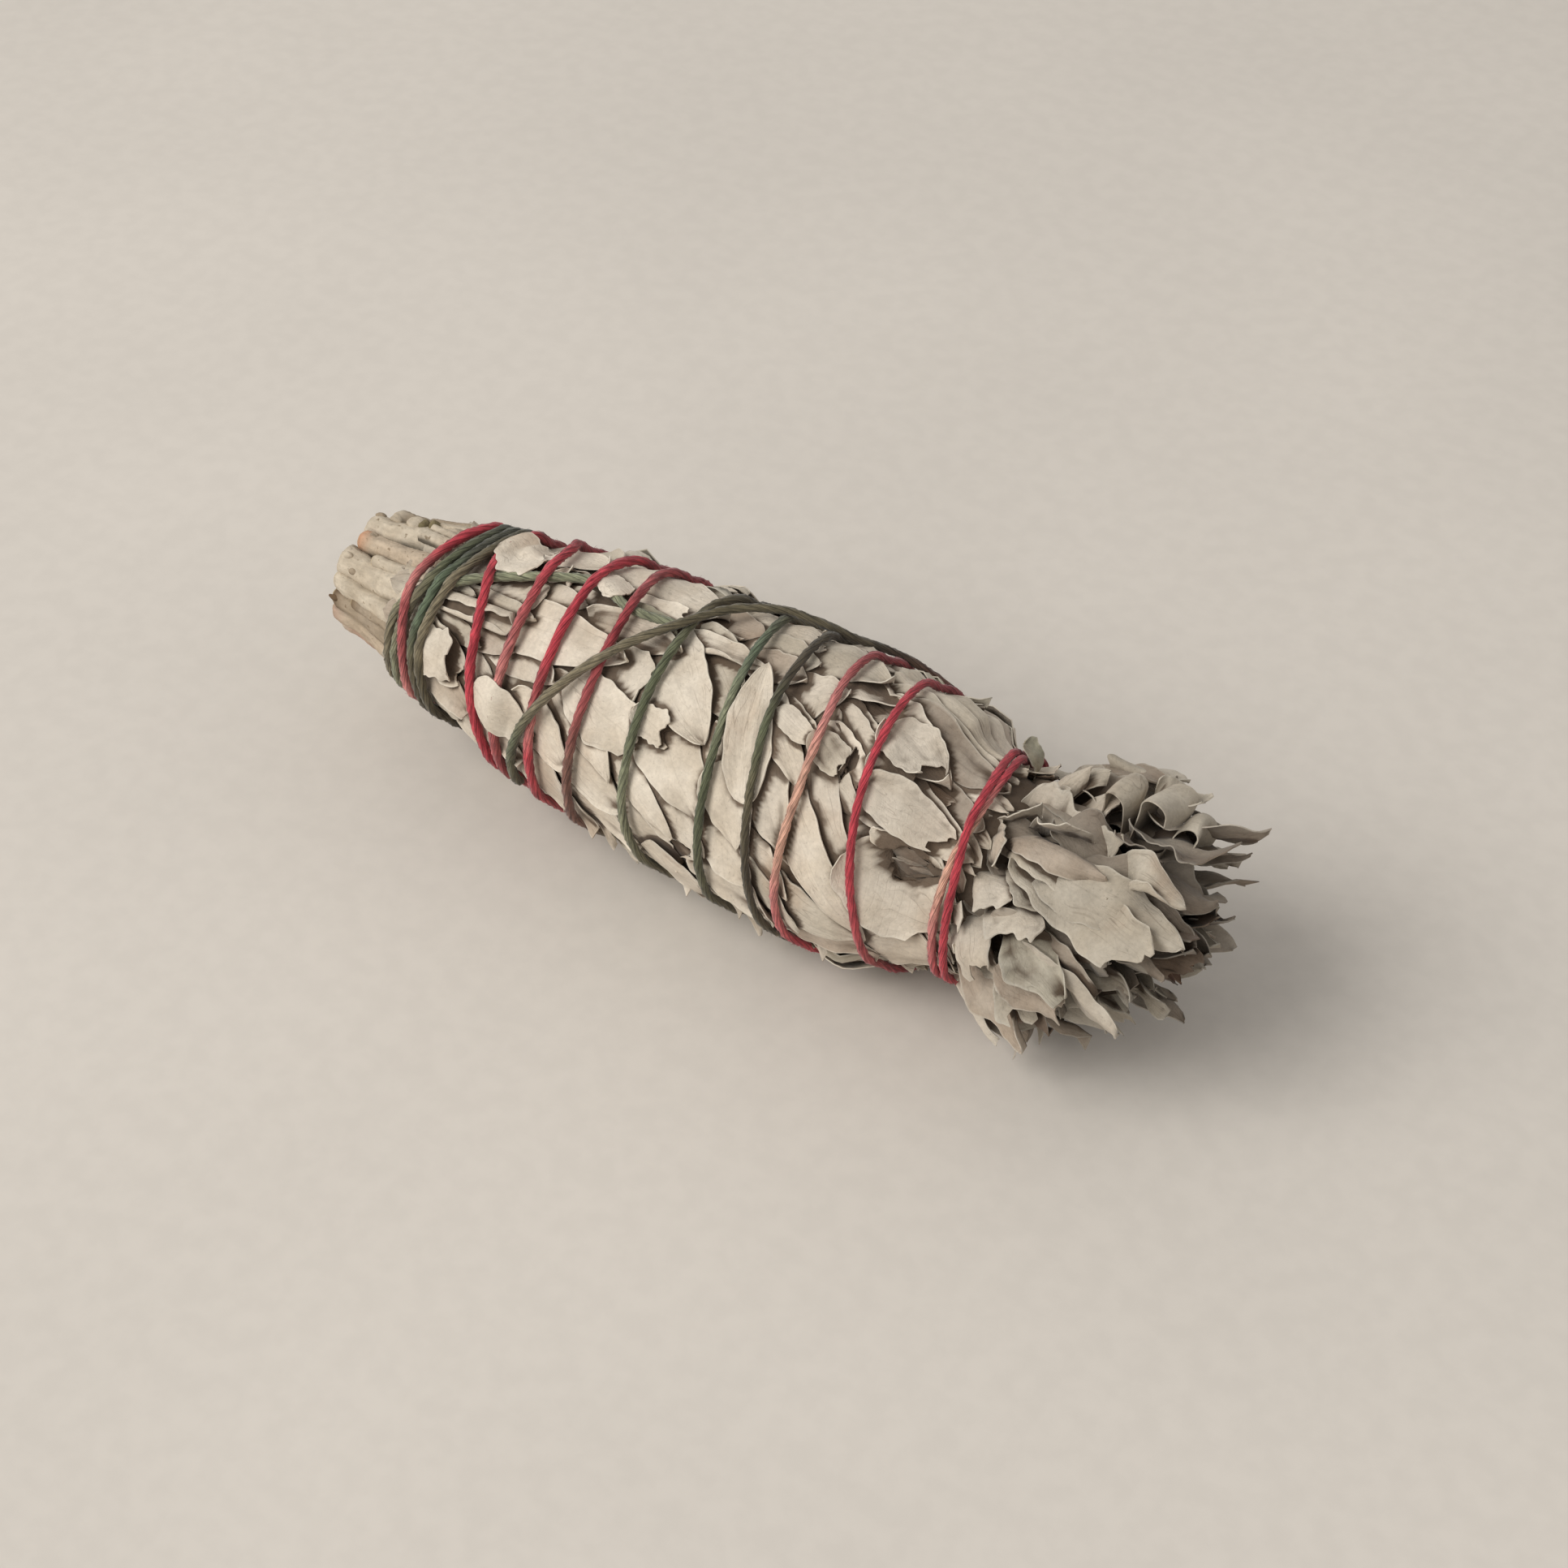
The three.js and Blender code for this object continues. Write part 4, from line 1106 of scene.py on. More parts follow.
# Tip leaves on the front and top, lowest first: shell, from, to, width, kind, tint, flare at the tip.
tipLeaves = [
    ("fourth", (52, 66), (75, 60), 9, "cupped", "dark", 1.5),
    ("fourth", (54, 92), (75, 92), 9, "wavy", "dark", 1.0),
    ("fourth", (52, 30), (69, 30), 8, "rag", "dark", 1.0),
    ("fourth", (56, 45), (76, 46), 7, "rag", "brown", 1.0),
    ("third", (50, 52), (74, 56), 9, "wavy", "dark", 0.5),
    ("third", (50, 118), (73, 116), 8, "plain", "dark", 1.0),
    ("fourth", (52, 100), (72, 104), 8, "rag", "dark", 0.5),
    ("fourth", (58, 94), (74, 92), 7, "rag", "dark", 1.5),
    ("third", (60, 76), (75.5, 68), 8, "rag", "brown", 1.4),
    ("third", (50, 40), (70, 36), 6, "slim", "grey", 1.0),
    ("third", (52, 10), (64, 6), 8, "plain", "grey", 0.4),
    ("third", (50, 24), (69, 20), 6, "ridge", "grey", 0.8),
    ("third", (50, 33), (66, 31), 7, "rag", "dark", 0.5),
    ("third", (58, 84), (67, 86), 4, "crumpled", "brown", 1.6),
    ("third", (60, 80), (69, 80), 3.5, "crumpled", "brown", 1.8),
    ("second", (50, 82), (64, 80), 8, "plain", "dark", -0.5),
    ("third", (58, 86), (73.5, 82), 10, "trough", "dark", 0.6),
    ("second", (56, 68), (74.0, 58), 9, "plain", "dark", 0.2),
    ("second", (58, 86), (65, 89), 3, "crumpled", "brown", 0.4),
    ("second", (46, 36), (65, 33), 7, "plain", "dark", 0.0),
    ("second", (52, 50), (75, 46), 7, "rag", "dark", 0.6),
    ("second", (50, 60), (74, 53), 8, "wavy", "grey", 0.8),
    ("second", (48, 30), (65, 18), 7, "ridge", "tan", 0.6),
    ("second", (52, 22), (70, 11), 5, "slim", "pale", 1.2),
    ("second", (46, -4), (60, -12), 8, "plain", "brown", 0.5),
    ("second", (46, 10), (60, 3), 7, "rag", "grey", 0.3),
    ("second", (58, 100), (73.0, 103), 9, "rag", "dark", 0.8),
    ("second", (57, 116), (73.5, 124), 9.0, "plain", "tan", 2.6),
    ("second", (50, 130), (72, 130), 7, "plain", "dark", 0.2),
    ("outer", (42, 140), (60, 134), 9, "plain", "grey", 0.9),
    ("outer", (46, 122), (59, 126), 6, "curledLow", "dark", -0.2),
    ("outer", (58, 118), (65, 122), 7, "torn", "grey", 0.8),
    ("outer", (46, 112), (57, 112), 6, "plain", "dark", -0.6),
    ("outer", (47, 99), (56.5, 102), 6, "torn", "pale", 0.4),
    ("outer", (41, 104), (52, 113), 4, "ridge", "grey", 0.3),
    ("outer", (41, 98), (50, 108), 4, "ridge", "pale", 0.3),
    ("outer", (41, 92), (49, 99), 4, "ridge", "pale", 0.3),
    ("outer", (41, 64), (48.5, 60), 6, "rag", "grey", 0.2),
    ("outer", (41, 56), (49.5, 53), 7, "torn", "grey", 0.0),
    ("outer", (42, 47), (50.5, 51), 6, "plain", "grey", -0.2),
    ("outer", (42, 73), (53, 71), 7.5, "plain", "grey", -0.4),
    ("outer", (41.5, 59), (51, 57), 7.5, "plain", "grey", -0.3),
    ("outer", (41, 79), (48.5, 73), 6.5, "torn", "grey", 0.0),
    ("outer", (52, 74), (72.0, 66), 7.5, "curledLow", "grey", 0.6),
    ("outer", (42, -24), (52, -34), 5, "trough", "pale", 0.0),
    ("outer", (43, -4), (58, -14), 7, "cupped", "tan", 0.6),
    ("outer", (45, 14), (60, 4), 7, "rag", "grey", 0.8),
    ("outer", (44, 8), (54, 10), 5.5, "wavy", "pale", 0.6),
    ("outer", (52, 16), (63, 6), 5, "torn", "tan", 1.0),
    ("outer", (48, 36), (62, 16), 6.5, "wavy", "blue", 0.3),
    ("outer", (50, 84), (60, 80), 6, "torn", "grey", 0.2),
    ("outer", (41, 26), (50.5, 5), 8.0, "torn", "pale", 0.0),
    ("outer", (44, 36), (57, 43), 8.5, "rag", "pale", 1.8),
    ("outer", (41, 42), (50.5, 46), 7, "rag", "pale", 0.8),
    ("outer", (46, 57), (58, 47), 7, "torn", "grey", 0.0),
    ("outer", (48, 58), (72.0, 43), 9.0, "torn", "grey", 0.6),
    ("outer", (45, 66), (62, 58), 7, "ridge", "grey", 0.4),
    ("outer", (43, 70), (61, 64), 7, "ridge", "tan", 0.5),
    ("outer", (41, 72), (46, 50), 4.5, "cupped", "pale", 0.3),
    ("outer", (43, 88), (57.0, 82), 7.5, "rag", "pale", 1.0),
    ("outer", (41, 80), (47.5, 84), 4.5, "curled", "pale", 0.4),
    ("outer", (41, 122), (46.5, 126), 4, "hook", "green", 2.6),
]

# Leaves bent over like an arch: station, angle, radius of the foot, half width, height, how far the end
# comes down, breadth of the leaf, lean, whether the bend runs along the bundle or around it.
tipLoops = (
    (54.2, 96, 14.8, 1.55, 7.0, 0.9, 6.0, 0.02, "along"),
    (58.6, 97, 14.2, 2.0, 8.6, 0.25, 8.0, 0.10, "along"),
    (49.5, 128, 18.3, 1.3, 3.2, 0.6, 9.0, -0.1, "around"),
    (62.5, 104, 12.8, 1.6, 6.2, 0.4, 7.0, 0.25, "along"),
)


def loopLeaf(first, degrees, foot, half, height, drop, breadth, lean, way):
    seed = first + degrees
    steps, rows = tip["loopSteps"]
    place = (first, degrees)
    leaf = newLeaf(place, place, breadth, "plain", "grey", steps=(steps, rows), seed=seed)
    u, v = np.meshgrid(np.linspace(0, 1, steps + 1), np.linspace(0, 1, rows + 1), indexing="ij")
    leg = height - half
    run = v * (leg + drop * leg + math.pi * half)
    arc = np.clip((run - leg) / half, 0, math.pi)
    raised = np.minimum(run, leg) + half * np.sin(arc) - np.maximum(run - leg - math.pi * half, 0)
    bent = half * (1 - np.cos(arc)) * (1 + 0.12 * np.sin(u * 4 + seed)) + lean * raised
    raised = raised * (0.92 + 0.08 * np.sin(u * 3 + seed * 2)) + 0.5 * np.sin(v * 5 + u * 3 + seed)
    broad = breadth * u + 0.5 * np.sin(v * 9 + seed) * (1 - u)
    # painted shade, darkest at the foot of the arch and none near its top
    leaf["covered"] = 0.9 * (1 - smoothStep(0.15, 0.7, raised / height))
    station, aside = (first + bent, broad) if way == "along" else (first + broad, bent)
    leaf["points"] = onBundle(station, degrees + aside * 2.9, foot + raised)
    leaf["degrees"] = np.array(float(degrees))
    leaf["layer"] = "outer"
    return leaf


def layTip():
    rng = random.Random(tip["seed"])
    maps = {shell: np.zeros((mapRows, mapColumns)) for shell in tipShells}
    leaves = []

    def lay(leaf, shell, flare):
        leaf["layer"] = shell
        leaf["flare"] = flare
        leaf["around"] = float(smoothTable(tipShells[shell], (leaf["from"][0] + leaf["to"][0]) / 2))
        layLeaf(leaf, maps[shell])
        leaves.append(leaf)

    for shell, count, base, reach, extra, width in tipRings:
        for place in range(count):
            degrees = 360 * place / count + rng.uniform(-8, 8)
            end = reach + extra * math.sin(math.radians(degrees)) + rng.uniform(-4.5, 3.0)
            swing = rng.uniform(-14, 14)
            kind, tint = rng.choice(tip["kinds"]), rng.choice(tip["tints"])
            seed = rng.uniform(0, 6.28)
            wide, flare = width * rng.uniform(0.8, 1.2), rng.uniform(-0.8, 1.0)
            start = base + rng.uniform(-2, 2)
            seen = tip["seenFrom"] < (degrees + 180) % 360 - 180 < tip["seenTo"]
            if seen and shell == "outer":
                continue
            # painted shade: pale leaves of the second and third shells in view take the dark tint
            if seen and shell in ("second", "third") and tint == "pale":
                tint = "dark"
            bend = rng.uniform(-1, 1)
            leaf = newLeaf((start, degrees), (end, degrees + swing), wide, kind, tint, bend,
                           steps=tip["ringSteps"], seed=seed)
            lay(leaf, shell, flare)
    for shell, start, end, width, kind, tint, flare in tipLeaves:
        lay(newLeaf(start, end, width, kind, tint, steps=tip["handSteps"]), shell, flare)
    tops = {shell: softenMap(softenMap(spreadMap(maps[shell], 4), 4), 3) for shell in maps}
    return leaves, maps, tops


tipLaid, tipHeights, tipTops = layTip()
print("laid", len(tipLaid), "tip leaves")


def tipRadius(leaf):
    shell = smoothTable(tipShells[leaf["layer"]], leaf["station"])
    depth = readMap(tipTops[leaf["layer"]], leaf["station"], leaf["degrees"]) - leaf["height"]
    radius = shell - tip["packed"] * depth + leaf["flare"] * leaf["share"] ** 2
    return np.maximum(radius, tip["narrowest"] + 0.1 * leaf["height"])


# Painted shade: how dark each layer of leaves is drawn, the inner layers of the bundle and the tip darker;
# the others are not darkened.
layerShades = {
    "inside": 0.82, "heart": 0.62, "fifth": 0.62, "fourth": 0.64, "third": 0.66, "second": 0.75,
    "outer": 0.86,
}


def addLeaf(mesh, leaf, points):
    toneLayer = mesh.verts.layers.float_color["leafTone"]
    shade, green, brown = leafTints[leaf["tint"]]
    # painted shade by layer, times a tone that differs a little from leaf to leaf
    shade *= layerShades.get(leaf["layer"], 1.0) * (0.94 + 0.06 * math.sin(leaf["seed"] * 7))
    points = points * millimetre
    torn = set()
    for vert, i, j in addGrid(mesh, *leaf["steps"]):
        vert.co = points[i, j]
        vert[toneLayer] = (shade, green, brown, leaf["covered"][i, j])
        if leaf["torn"] is not None and leaf["torn"][i, j]:
            torn.add(vert)
    holes = {face for vert in torn for face in vert.link_faces if torn.issuperset(face.verts)}
    if holes:
        bmesh.ops.delete(mesh, geom=list(holes), context="FACES")


def leafPiece(name, leaves, material):
    mesh = startMesh("leafTone", "leafUV")
    for leaf, points in leaves:
        addLeaf(mesh, leaf, points)
    for edge in mesh.edges:
        edge.smooth = not edge.is_boundary
    piece = meshObject(name, mesh, material)
    shell = piece.modifiers.new("thickness", "SOLIDIFY")
    shell.thickness = leafThickness * millimetre
    shell.offset = -1
    return piece


leafLook = {
    "roughness": 0.82,
    "sheen": 0.10,
    "clouds": 150.0,     # scales of the noises
    "stains": 85.0,
    "grain": 1400.0,
    "net": 1000.0,
    "veins": 40.0,       # slanting veins on one leaf
    "greened": 0.7,
    "darkened": 0.88,    # painted shade where another leaf lies over it
    "ribbed": 0.08,
    "bump": 0.40,
    "bumpDepth": 0.15,
    "light": srgb(236, 224, 207),
    "middle": srgb(219, 205, 186),
    "green": srgb(160, 160, 132),
    "brown": srgb(150, 124, 102),
    "stain": srgb(178, 150, 124),
    # painted highlight along the leaf margins
    "edge": srgb(238, 230, 214),
    # the dark brown of painted shade, under other leaves and along fold lines
    "creaseShade": srgb(88, 67, 48),
}


def leafTone(tree):  # shade, green, brown and the painted shade where other leaves lie over it
    tone = wire(tree, "ShaderNodeAttribute", attribute_name="leafTone")
    parts = wire(tree, "ShaderNodeSeparateColor", {0: tone.outputs["Color"]}).outputs
    return parts[0], parts[1], parts[2], tone.outputs["Alpha"]


def makeLeafMaterial():
    material, tree, shader = newMaterial("sageLeaf", leafLook["roughness"])
    shader.inputs["Sheen Weight"].default_value = leafLook["sheen"]
    place = objectPlace(tree)
    along, across = uvPlace(tree, "leafUV")
    shade, green, brown, covered = leafTone(tree)
    fromMiddle = calculate(tree, "ABSOLUTE", calculate(tree, "SUBTRACT", across, 0.5))
    stainNoise = noise(tree, place, leafLook["stains"], 4.0)

    def drawnOut(lengthwise, crosswise, apart, detail):  # a noise that runs along each leaf
        stretched = joinPlace(
            tree, times(tree, along, lengthwise), times(tree, across, crosswise), times(tree, shade, apart)
        )
        return noise(tree, stretched, 1.0, detail)

    wrinkles = drawnOut(5.0, 14.0, 90.0, 2.0)
    folds = drawnOut(2.2, 6.0, 70.0, 1.0)
    # fold lines: sunk a little in the bump and drawn darker with painted shade
    foldLine = calculate(tree, "ABSOLUTE", calculate(tree, "SUBTRACT", folds, 0.5))
    broken = spreadOut(tree, stainNoise, 0.46, 0.60, 0.0, 0.32)
    lines = times(tree, spreadOut(tree, foldLine, 0.0, 0.018, 1.0, 0.0), broken)
    clouds = spreadOut(tree, noise(tree, place, leafLook["clouds"], 3.0), 0.32, 0.66)
    colour = mixColours(tree, clouds, leafLook["middle"], leafLook["light"])
    layers = (
        (times(tree, green, leafLook["greened"]), "green"),
        (spreadOut(tree, stainNoise, 0.56, 0.74, 0.0, 0.5), "stain"),
        (times(tree, brown, spreadOut(tree, stainNoise, 0.30, 0.60, 0.35, 1.0)), "brown"),
        # painted highlight along each leaf's margins
        (spreadOut(tree, fromMiddle, 0.46, 0.495, 0.0, 0.45), "edge"),
        # painted shade where another leaf lies over this one, then along the fold lines
        (times(tree, calculate(tree, "POWER", covered, 1.7), leafLook["darkened"]), "creaseShade"),
        (lines, "creaseShade"),
    )
    for share, name in layers:
        colour = mixColours(tree, share, colour, leafLook[name])
    colour, grain = down(tree, place, leafLook["grain"], colour)
    rib = spreadOut(tree, fromMiddle, 0.0, 0.025, 1.0, 0.0)
    ribTone = calculate(tree, "SUBTRACT", 1.0, times(tree, rib, leafLook["ribbed"]))
    slant = calculate(tree, "MULTIPLY_ADD", fromMiddle, -0.55, along)
    veinLine = calculate(tree, "ABSOLUTE", calculate(tree, "SINE", times(tree, slant, leafLook["veins"])))
    veins = spreadOut(tree, veinLine, 0.0, 0.35, 1.0, 0.0)
    veinTone = spreadOut(tree, veins, 0.0, 1.0, 1.0, 0.97)
    colour = shadeBy(tree, colour, times(tree, times(tree, shade, ribTone), veinTone))
    cells = wire(tree, "ShaderNodeTexVoronoi", {"Vector": place, "Scale": leafLook["net"]},
                 feature="DISTANCE_TO_EDGE")
    netting = spreadOut(tree, cells.outputs["Distance"], 0.0, 0.12, 0.0, 1.0)
    height = times(tree, grain, 0.7)
    for relief, much in ((netting, 0.18), (veins, -0.25), (wrinkles, 2.2), (lines, -0.8)):
        height = calculate(tree, "MULTIPLY_ADD", relief, much, height)
    finishSurface(tree, shader, colour, height, leafLook["bump"], leafLook["bumpDepth"])
    return material


sageLeaf = makeLeafMaterial()


def nodeCentre(node):  # station and angle of a node's middle
    low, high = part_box(node)
    middle = (low + high) / 2 / millimetre
    return middle.x, math.degrees(math.atan2(middle.z - bundle["axisHeight"], -middle.y))


def nearest(nodes, station, degrees, stationWeight):
    def gap(node):
        turned = (degrees - nodes[node][1] + 180) % 360 - 180
        return math.hypot((station - nodes[node][0]) * stationWeight, turned * 0.35)
    return min(nodes, key=gap)


def numberedNodes(stem, count):
    return ["%s_%02d" % (stem, number + 1) for number in range(count)]


def makeLeafPieces():
    bodyNodes = {node: nodeCentre(node) for node in numberedNodes("body_leaf", 25)}
    outerNodes = {node: nodeCentre(node) for node in numberedNodes("outer_tip_leaf", 9)}
    innerNodes = {node: nodeCentre(node) for node in numberedNodes("inner_tip_leaf", 6)}
    groups = {node: [] for node in [*bodyNodes, *outerNodes, *innerNodes]}
    inside = []
    for leaf in bodyLeaves:
        leaf["covered"] = coveredShare(bodyHeights, leaf)
        if leaf["layer"] == "pit":
            floor = pileTop(leaf) - pits[0][-1] + pitLook["floorGap"]
            radius = floor + pitLook["floorRelief"] * leaf["own"]
            leaf["covered"] = np.full(radius.shape, pitLook["floorShade"])
        else:
            radius = bodyRadius(leaf["station"], leaf["degrees"], leaf["height"], leaf["proudest"])
            tearLeaf(leaf, radius)
        if leaf["over"]:
            radius = radiusOver(leaf, radius)
        made = (leaf, onBundle(leaf["station"], leaf["degrees"], radius))
        if leaf["layer"] == "inside":
            inside.append(made)
        else:
            station, degrees = float(leaf["station"].mean()), float(leaf["degrees"].mean())
            groups[nearest(bodyNodes, station, degrees, 1.0)].append(made)
    for leaf in [*tipLaid, *(loopLeaf(*row) for row in tipLoops)]:
        points = leaf.get("points")
        if points is None:
            leaf["covered"] = coveredShare(tipHeights[leaf["layer"]], leaf)
            points = onBundle(leaf["station"], leaf["degrees"], tipRadius(leaf))
        nodes = outerNodes if leaf["layer"] in ("outer", "second") else innerNodes
        groups[nearest(nodes, 0, float(leaf["degrees"].mean()), 0.0)].append((leaf, points))
    for node, leaves in groups.items():
        slot = "inner_leaf" if node in innerNodes else "sage_leaf"
        finishPiece(leafPiece(node.replace("_", "-") + "-shown", leaves, sageLeaf), slot, node)
    return inside


insideLeaves = makeLeafPieces()
print("leaf pieces made")


# Dried bud in the heart of the tip.
bud = {
    "seed": 5,
    "from": 53.8,
    "rings": 6,
    "perRing": 7,
    "ringStep": 2.0,
    "length": 6.0,
    "width": 2.8,
    "radius": 0.9,
    "ringGrowth": 0.08,
    "flare": 1.9,
    "around": 2.2,
    "steps": (12, 6),
    "grain": 1500.0,
    "bump": 0.5,
    "bumpDepth": 0.2,
    "dark": srgb(108, 80, 58),
    "light": srgb(172, 138, 98),
    "rosy": srgb(126, 104, 100),
}


def makeBudMaterial():
    material, tree, shader = newMaterial("driedBud", 0.85)
    place = objectPlace(tree)
    shade, _, brown, _ = leafTone(tree)
    clouds = spreadOut(tree, noise(tree, place, 420.0, 4.0), 0.34, 0.66)
    colour = mixColours(tree, clouds, bud["dark"], bud["light"])
    colour = mixColours(tree, times(tree, brown, 0.5), colour, bud["rosy"])
    colour, grain = down(tree, place, bud["grain"], shadeBy(tree, colour, shade))
    finishSurface(tree, shader, colour, grain, bud["bump"], bud["bumpDepth"])
    return material


def makeBud():
    rng = random.Random(bud["seed"])
    leaves = []
    for ring in range(bud["rings"]):
        for place in range(bud["perRing"]):
            degrees = 360 * (place + 0.5 * ring) / bud["perRing"] + rng.uniform(-8, 8)
            station = bud["from"] + bud["ringStep"] * ring
            end = (station + bud["length"], degrees + rng.uniform(-15, 15))
            kind, tint = rng.choice(("slim", "plain", "cupped")), rng.choice(("tan", "brown", "grey"))
            seed = rng.uniform(0, 6.28)
            leaf = newLeaf((station, degrees), end, bud["width"], kind, tint, steps=bud["steps"], seed=seed)
            leaf["around"] = bud["around"]
            leaf["station"], leaf["degrees"], height, share = leafShape(leaf, *meshOf(*bud["steps"]))
            leaf["covered"] = 0.5 * (1 - share)
            radius = bud["radius"] + bud["ringGrowth"] * ring + bud["flare"] * share ** 1.4 + 0.4 * height
            leaves.append((leaf, onBundle(leaf["station"], leaf["degrees"], radius)))
    return leafPiece("tip-bud-shown", leaves, makeBudMaterial())


finishPiece(makeBud(), "dried_bud", "tip_bud")
print("bud made")


# Packed core, under all the leaves.
core = {
    "from": -58.0,
    "to": 52.0,
    "steps": 150,
    "sides": 110,
    "under": 0.35,
    "fold": 0.5,
    # shade, green, brown and painted shade: the core is drawn dark, as painted shade deep under the leaves
    "tone": (0.6, 0.1, 0.5, 0.9),
    "throat": ((40, 30.0), (41.4, 15.8), (43, 14.8), (52, 10.5)),  # widest radius by station
}


def makeCore():
    mesh = startMesh("leafTone", "leafUV")
    toneLayer = mesh.verts.layers.float_color["leafTone"]
    verts = [cell[0] for cell in addGrid(mesh, core["steps"], core["sides"])]
    share = (np.array([vert.co.x for vert in verts]) + 1) / 2
    degrees = np.array([vert.co.y for vert in verts]) * 180.0
    station = core["from"] + (core["to"] - core["from"]) * share
    folds = core["fold"] * creases(station, degrees * 0.35, 0.0)
    radius = bodyRadius(station, degrees, -core["under"] - folds)
    radius = np.minimum(radius, np.interp(station, *zip(*core["throat"])))
    closing = np.sqrt(np.clip(1 - ((share - 0.5) / 0.5) ** 16, 0, 1))
    points = onBundle(station, degrees, radius * closing) * millimetre
    for vert, point in zip(verts, points):
        vert.co = point
        vert[toneLayer] = core["tone"]
    closeSeams(mesh, 0.01)
    return meshObject("packed-core", mesh, sageLeaf)


finishPiece(makeCore(), "inner_leaf", "packed_leaves")
finishPiece(leafPiece("packed-leaves-shown", insideLeaves, sageLeaf), "inner_leaf")
print("packed leaves made")


def awayFromAxis(centres, shift=0.0):
    across = centres.copy()
    across[:, 0] = 0.0
    across[:, 2] -= bundle["axisHeight"] - shift
    return across


def wrapTube(mesh, centres, outward, sides, rings, forward=None):  # rings of radii round a line
    tangent = np.gradient(centres, axis=0) if forward is None else forward.copy()
    tangent /= np.linalg.norm(tangent, axis=1)[:, None]
    outward = outward - (outward * tangent).sum(1)[:, None] * tangent
    outward /= np.linalg.norm(outward, axis=1)[:, None]
    sideways = np.cross(tangent, outward)
    turn = np.linspace(0, 2 * math.pi, sides + 1)
    points = (
        centres[:, None, :]
        + outward[:, None, :] * (rings * np.cos(turn)[None, :])[:, :, None]
        + sideways[:, None, :] * (rings * np.sin(turn)[None, :])[:, :, None]
    ) * millimetre
    cells = addGrid(mesh, len(centres) - 1, sides)
    for vert, i, j in cells:
        vert.co = points[i, j]
    return cells


def blendDyesAndShade():
    places, colours = [], []
    for count, stops in enumerate(turnDyesAndShade):
        for degrees, dyeAndShade in stops:
            places.append(360 * count - degrees)
            colours.append(threadDyesAndShades[dyeAndShade][:3])
    colours = np.array(colours)
    winding = -route[:, 0]
    return np.stack([np.interp(winding, places, colours[:, k]) for k in range(3)], axis=-1)


def addFibres(mesh, dyeAndShadeLayer, dyesAndShade, outward):  # loose fibres standing off the thread, each a narrow strip
    rng = random.Random(thread["fibreSeed"])
    count = thread["fibres"]
    tangents = np.gradient(routePoints, axis=0)
    rowOf = {}
    strips = {}
    for vert, step, row in addGrid(mesh, 2, 2 * count - 1):
        rowOf[vert] = row // 2
        strips.setdefault(row // 2, []).append((step, row % 2 * 2 - 1, vert))
    between = dict.fromkeys(
        face for vert in rowOf for face in vert.link_faces
        if len({rowOf[corner] for corner in face.verts}) > 1
    )
    bmesh.ops.delete(mesh, geom=list(between), context="FACES_ONLY")
    bridges = dict.fromkeys(edge for vert in rowOf for edge in vert.link_edges if not edge.link_faces)
    bmesh.ops.delete(mesh, geom=list(bridges), context="EDGES")
    for fibre in range(count):
        k = rng.randrange(2, len(route) - 2)
        tangent = Vector(tangents[k]).normalized()
        out = Vector(outward[k]).normalized()
        turn = rng.uniform(-2.4, 2.4)
        away = out * math.cos(turn) + tangent.cross(out) * math.sin(turn)
        start = Vector(routePoints[k]) + away * float(threadRadius(route[k, 1])) * 0.9
        lean = tangent * rng.choice((-1, 1)) * rng.uniform(0.5, 1.3) + away * rng.uniform(0.05, 0.42)
        end = start + lean * rng.uniform(0.4, 1.1)
        middle = (start + end) / 2 + away * rng.uniform(0.02, 0.16)
        broad = lean.cross(away).normalized() * thread["fibreWidth"] / 2
        for step, edge, vert in strips[fibre]:
            vert.co = ((start, middle, end)[step] + broad * edge * (1 - 0.2 * step)) * millimetre
            vert[dyeAndShadeLayer] = (*dyesAndShade[k], 1.0)


def makeThread(material):
    mesh = startMesh("threadDyeAndShade", "threadUV")
    dyeAndShadeLayer = mesh.verts.layers.float_color["threadDyeAndShade"]
    dyesAndShade = blendDyesAndShade()
    outward = awayFromAxis(routePoints)
    sides = thread["sides"]
    swell = 1 + 0.04 * np.sin(routeLength * 0.9) + 0.04 * np.sin(routeLength * 2.3 + 1)
    ends = np.minimum(routeLength, routeLength[-1] - routeLength)
    radii = threadRadius(route[:, 1]) * swell * np.sqrt(np.clip(ends / 0.5, 0, 1))
    rough = np.random.default_rng(thread["roughSeed"]).uniform(-1, 1, (len(route), sides + 1))
    rough[:, -1] = rough[:, 0]
    rings = radii[:, None] * (1 + thread["roughness"] * rough)
    phase = routeLength * 2 * math.pi / thread["pitch"] + 0.5 * np.sin(routeLength * 0.31)
    turn = np.linspace(0, 2 * math.pi, sides + 1)
    plies = np.abs(np.cos(thread["plies"] * (turn[None, :] - phase[:, None]) / 2))
    rings = rings * (1 + thread["plyDepth"] * (plies - 0.6))
    for vert, step, _ in wrapTube(mesh, routePoints, outward, sides, rings):
        vert[dyeAndShadeLayer] = (*dyesAndShade[step], 1.0)
    closeSeams(mesh, 0.003)
    addFibres(mesh, dyeAndShadeLayer, dyesAndShade, outward)
    return meshObject("binding-thread-shown", mesh, material)


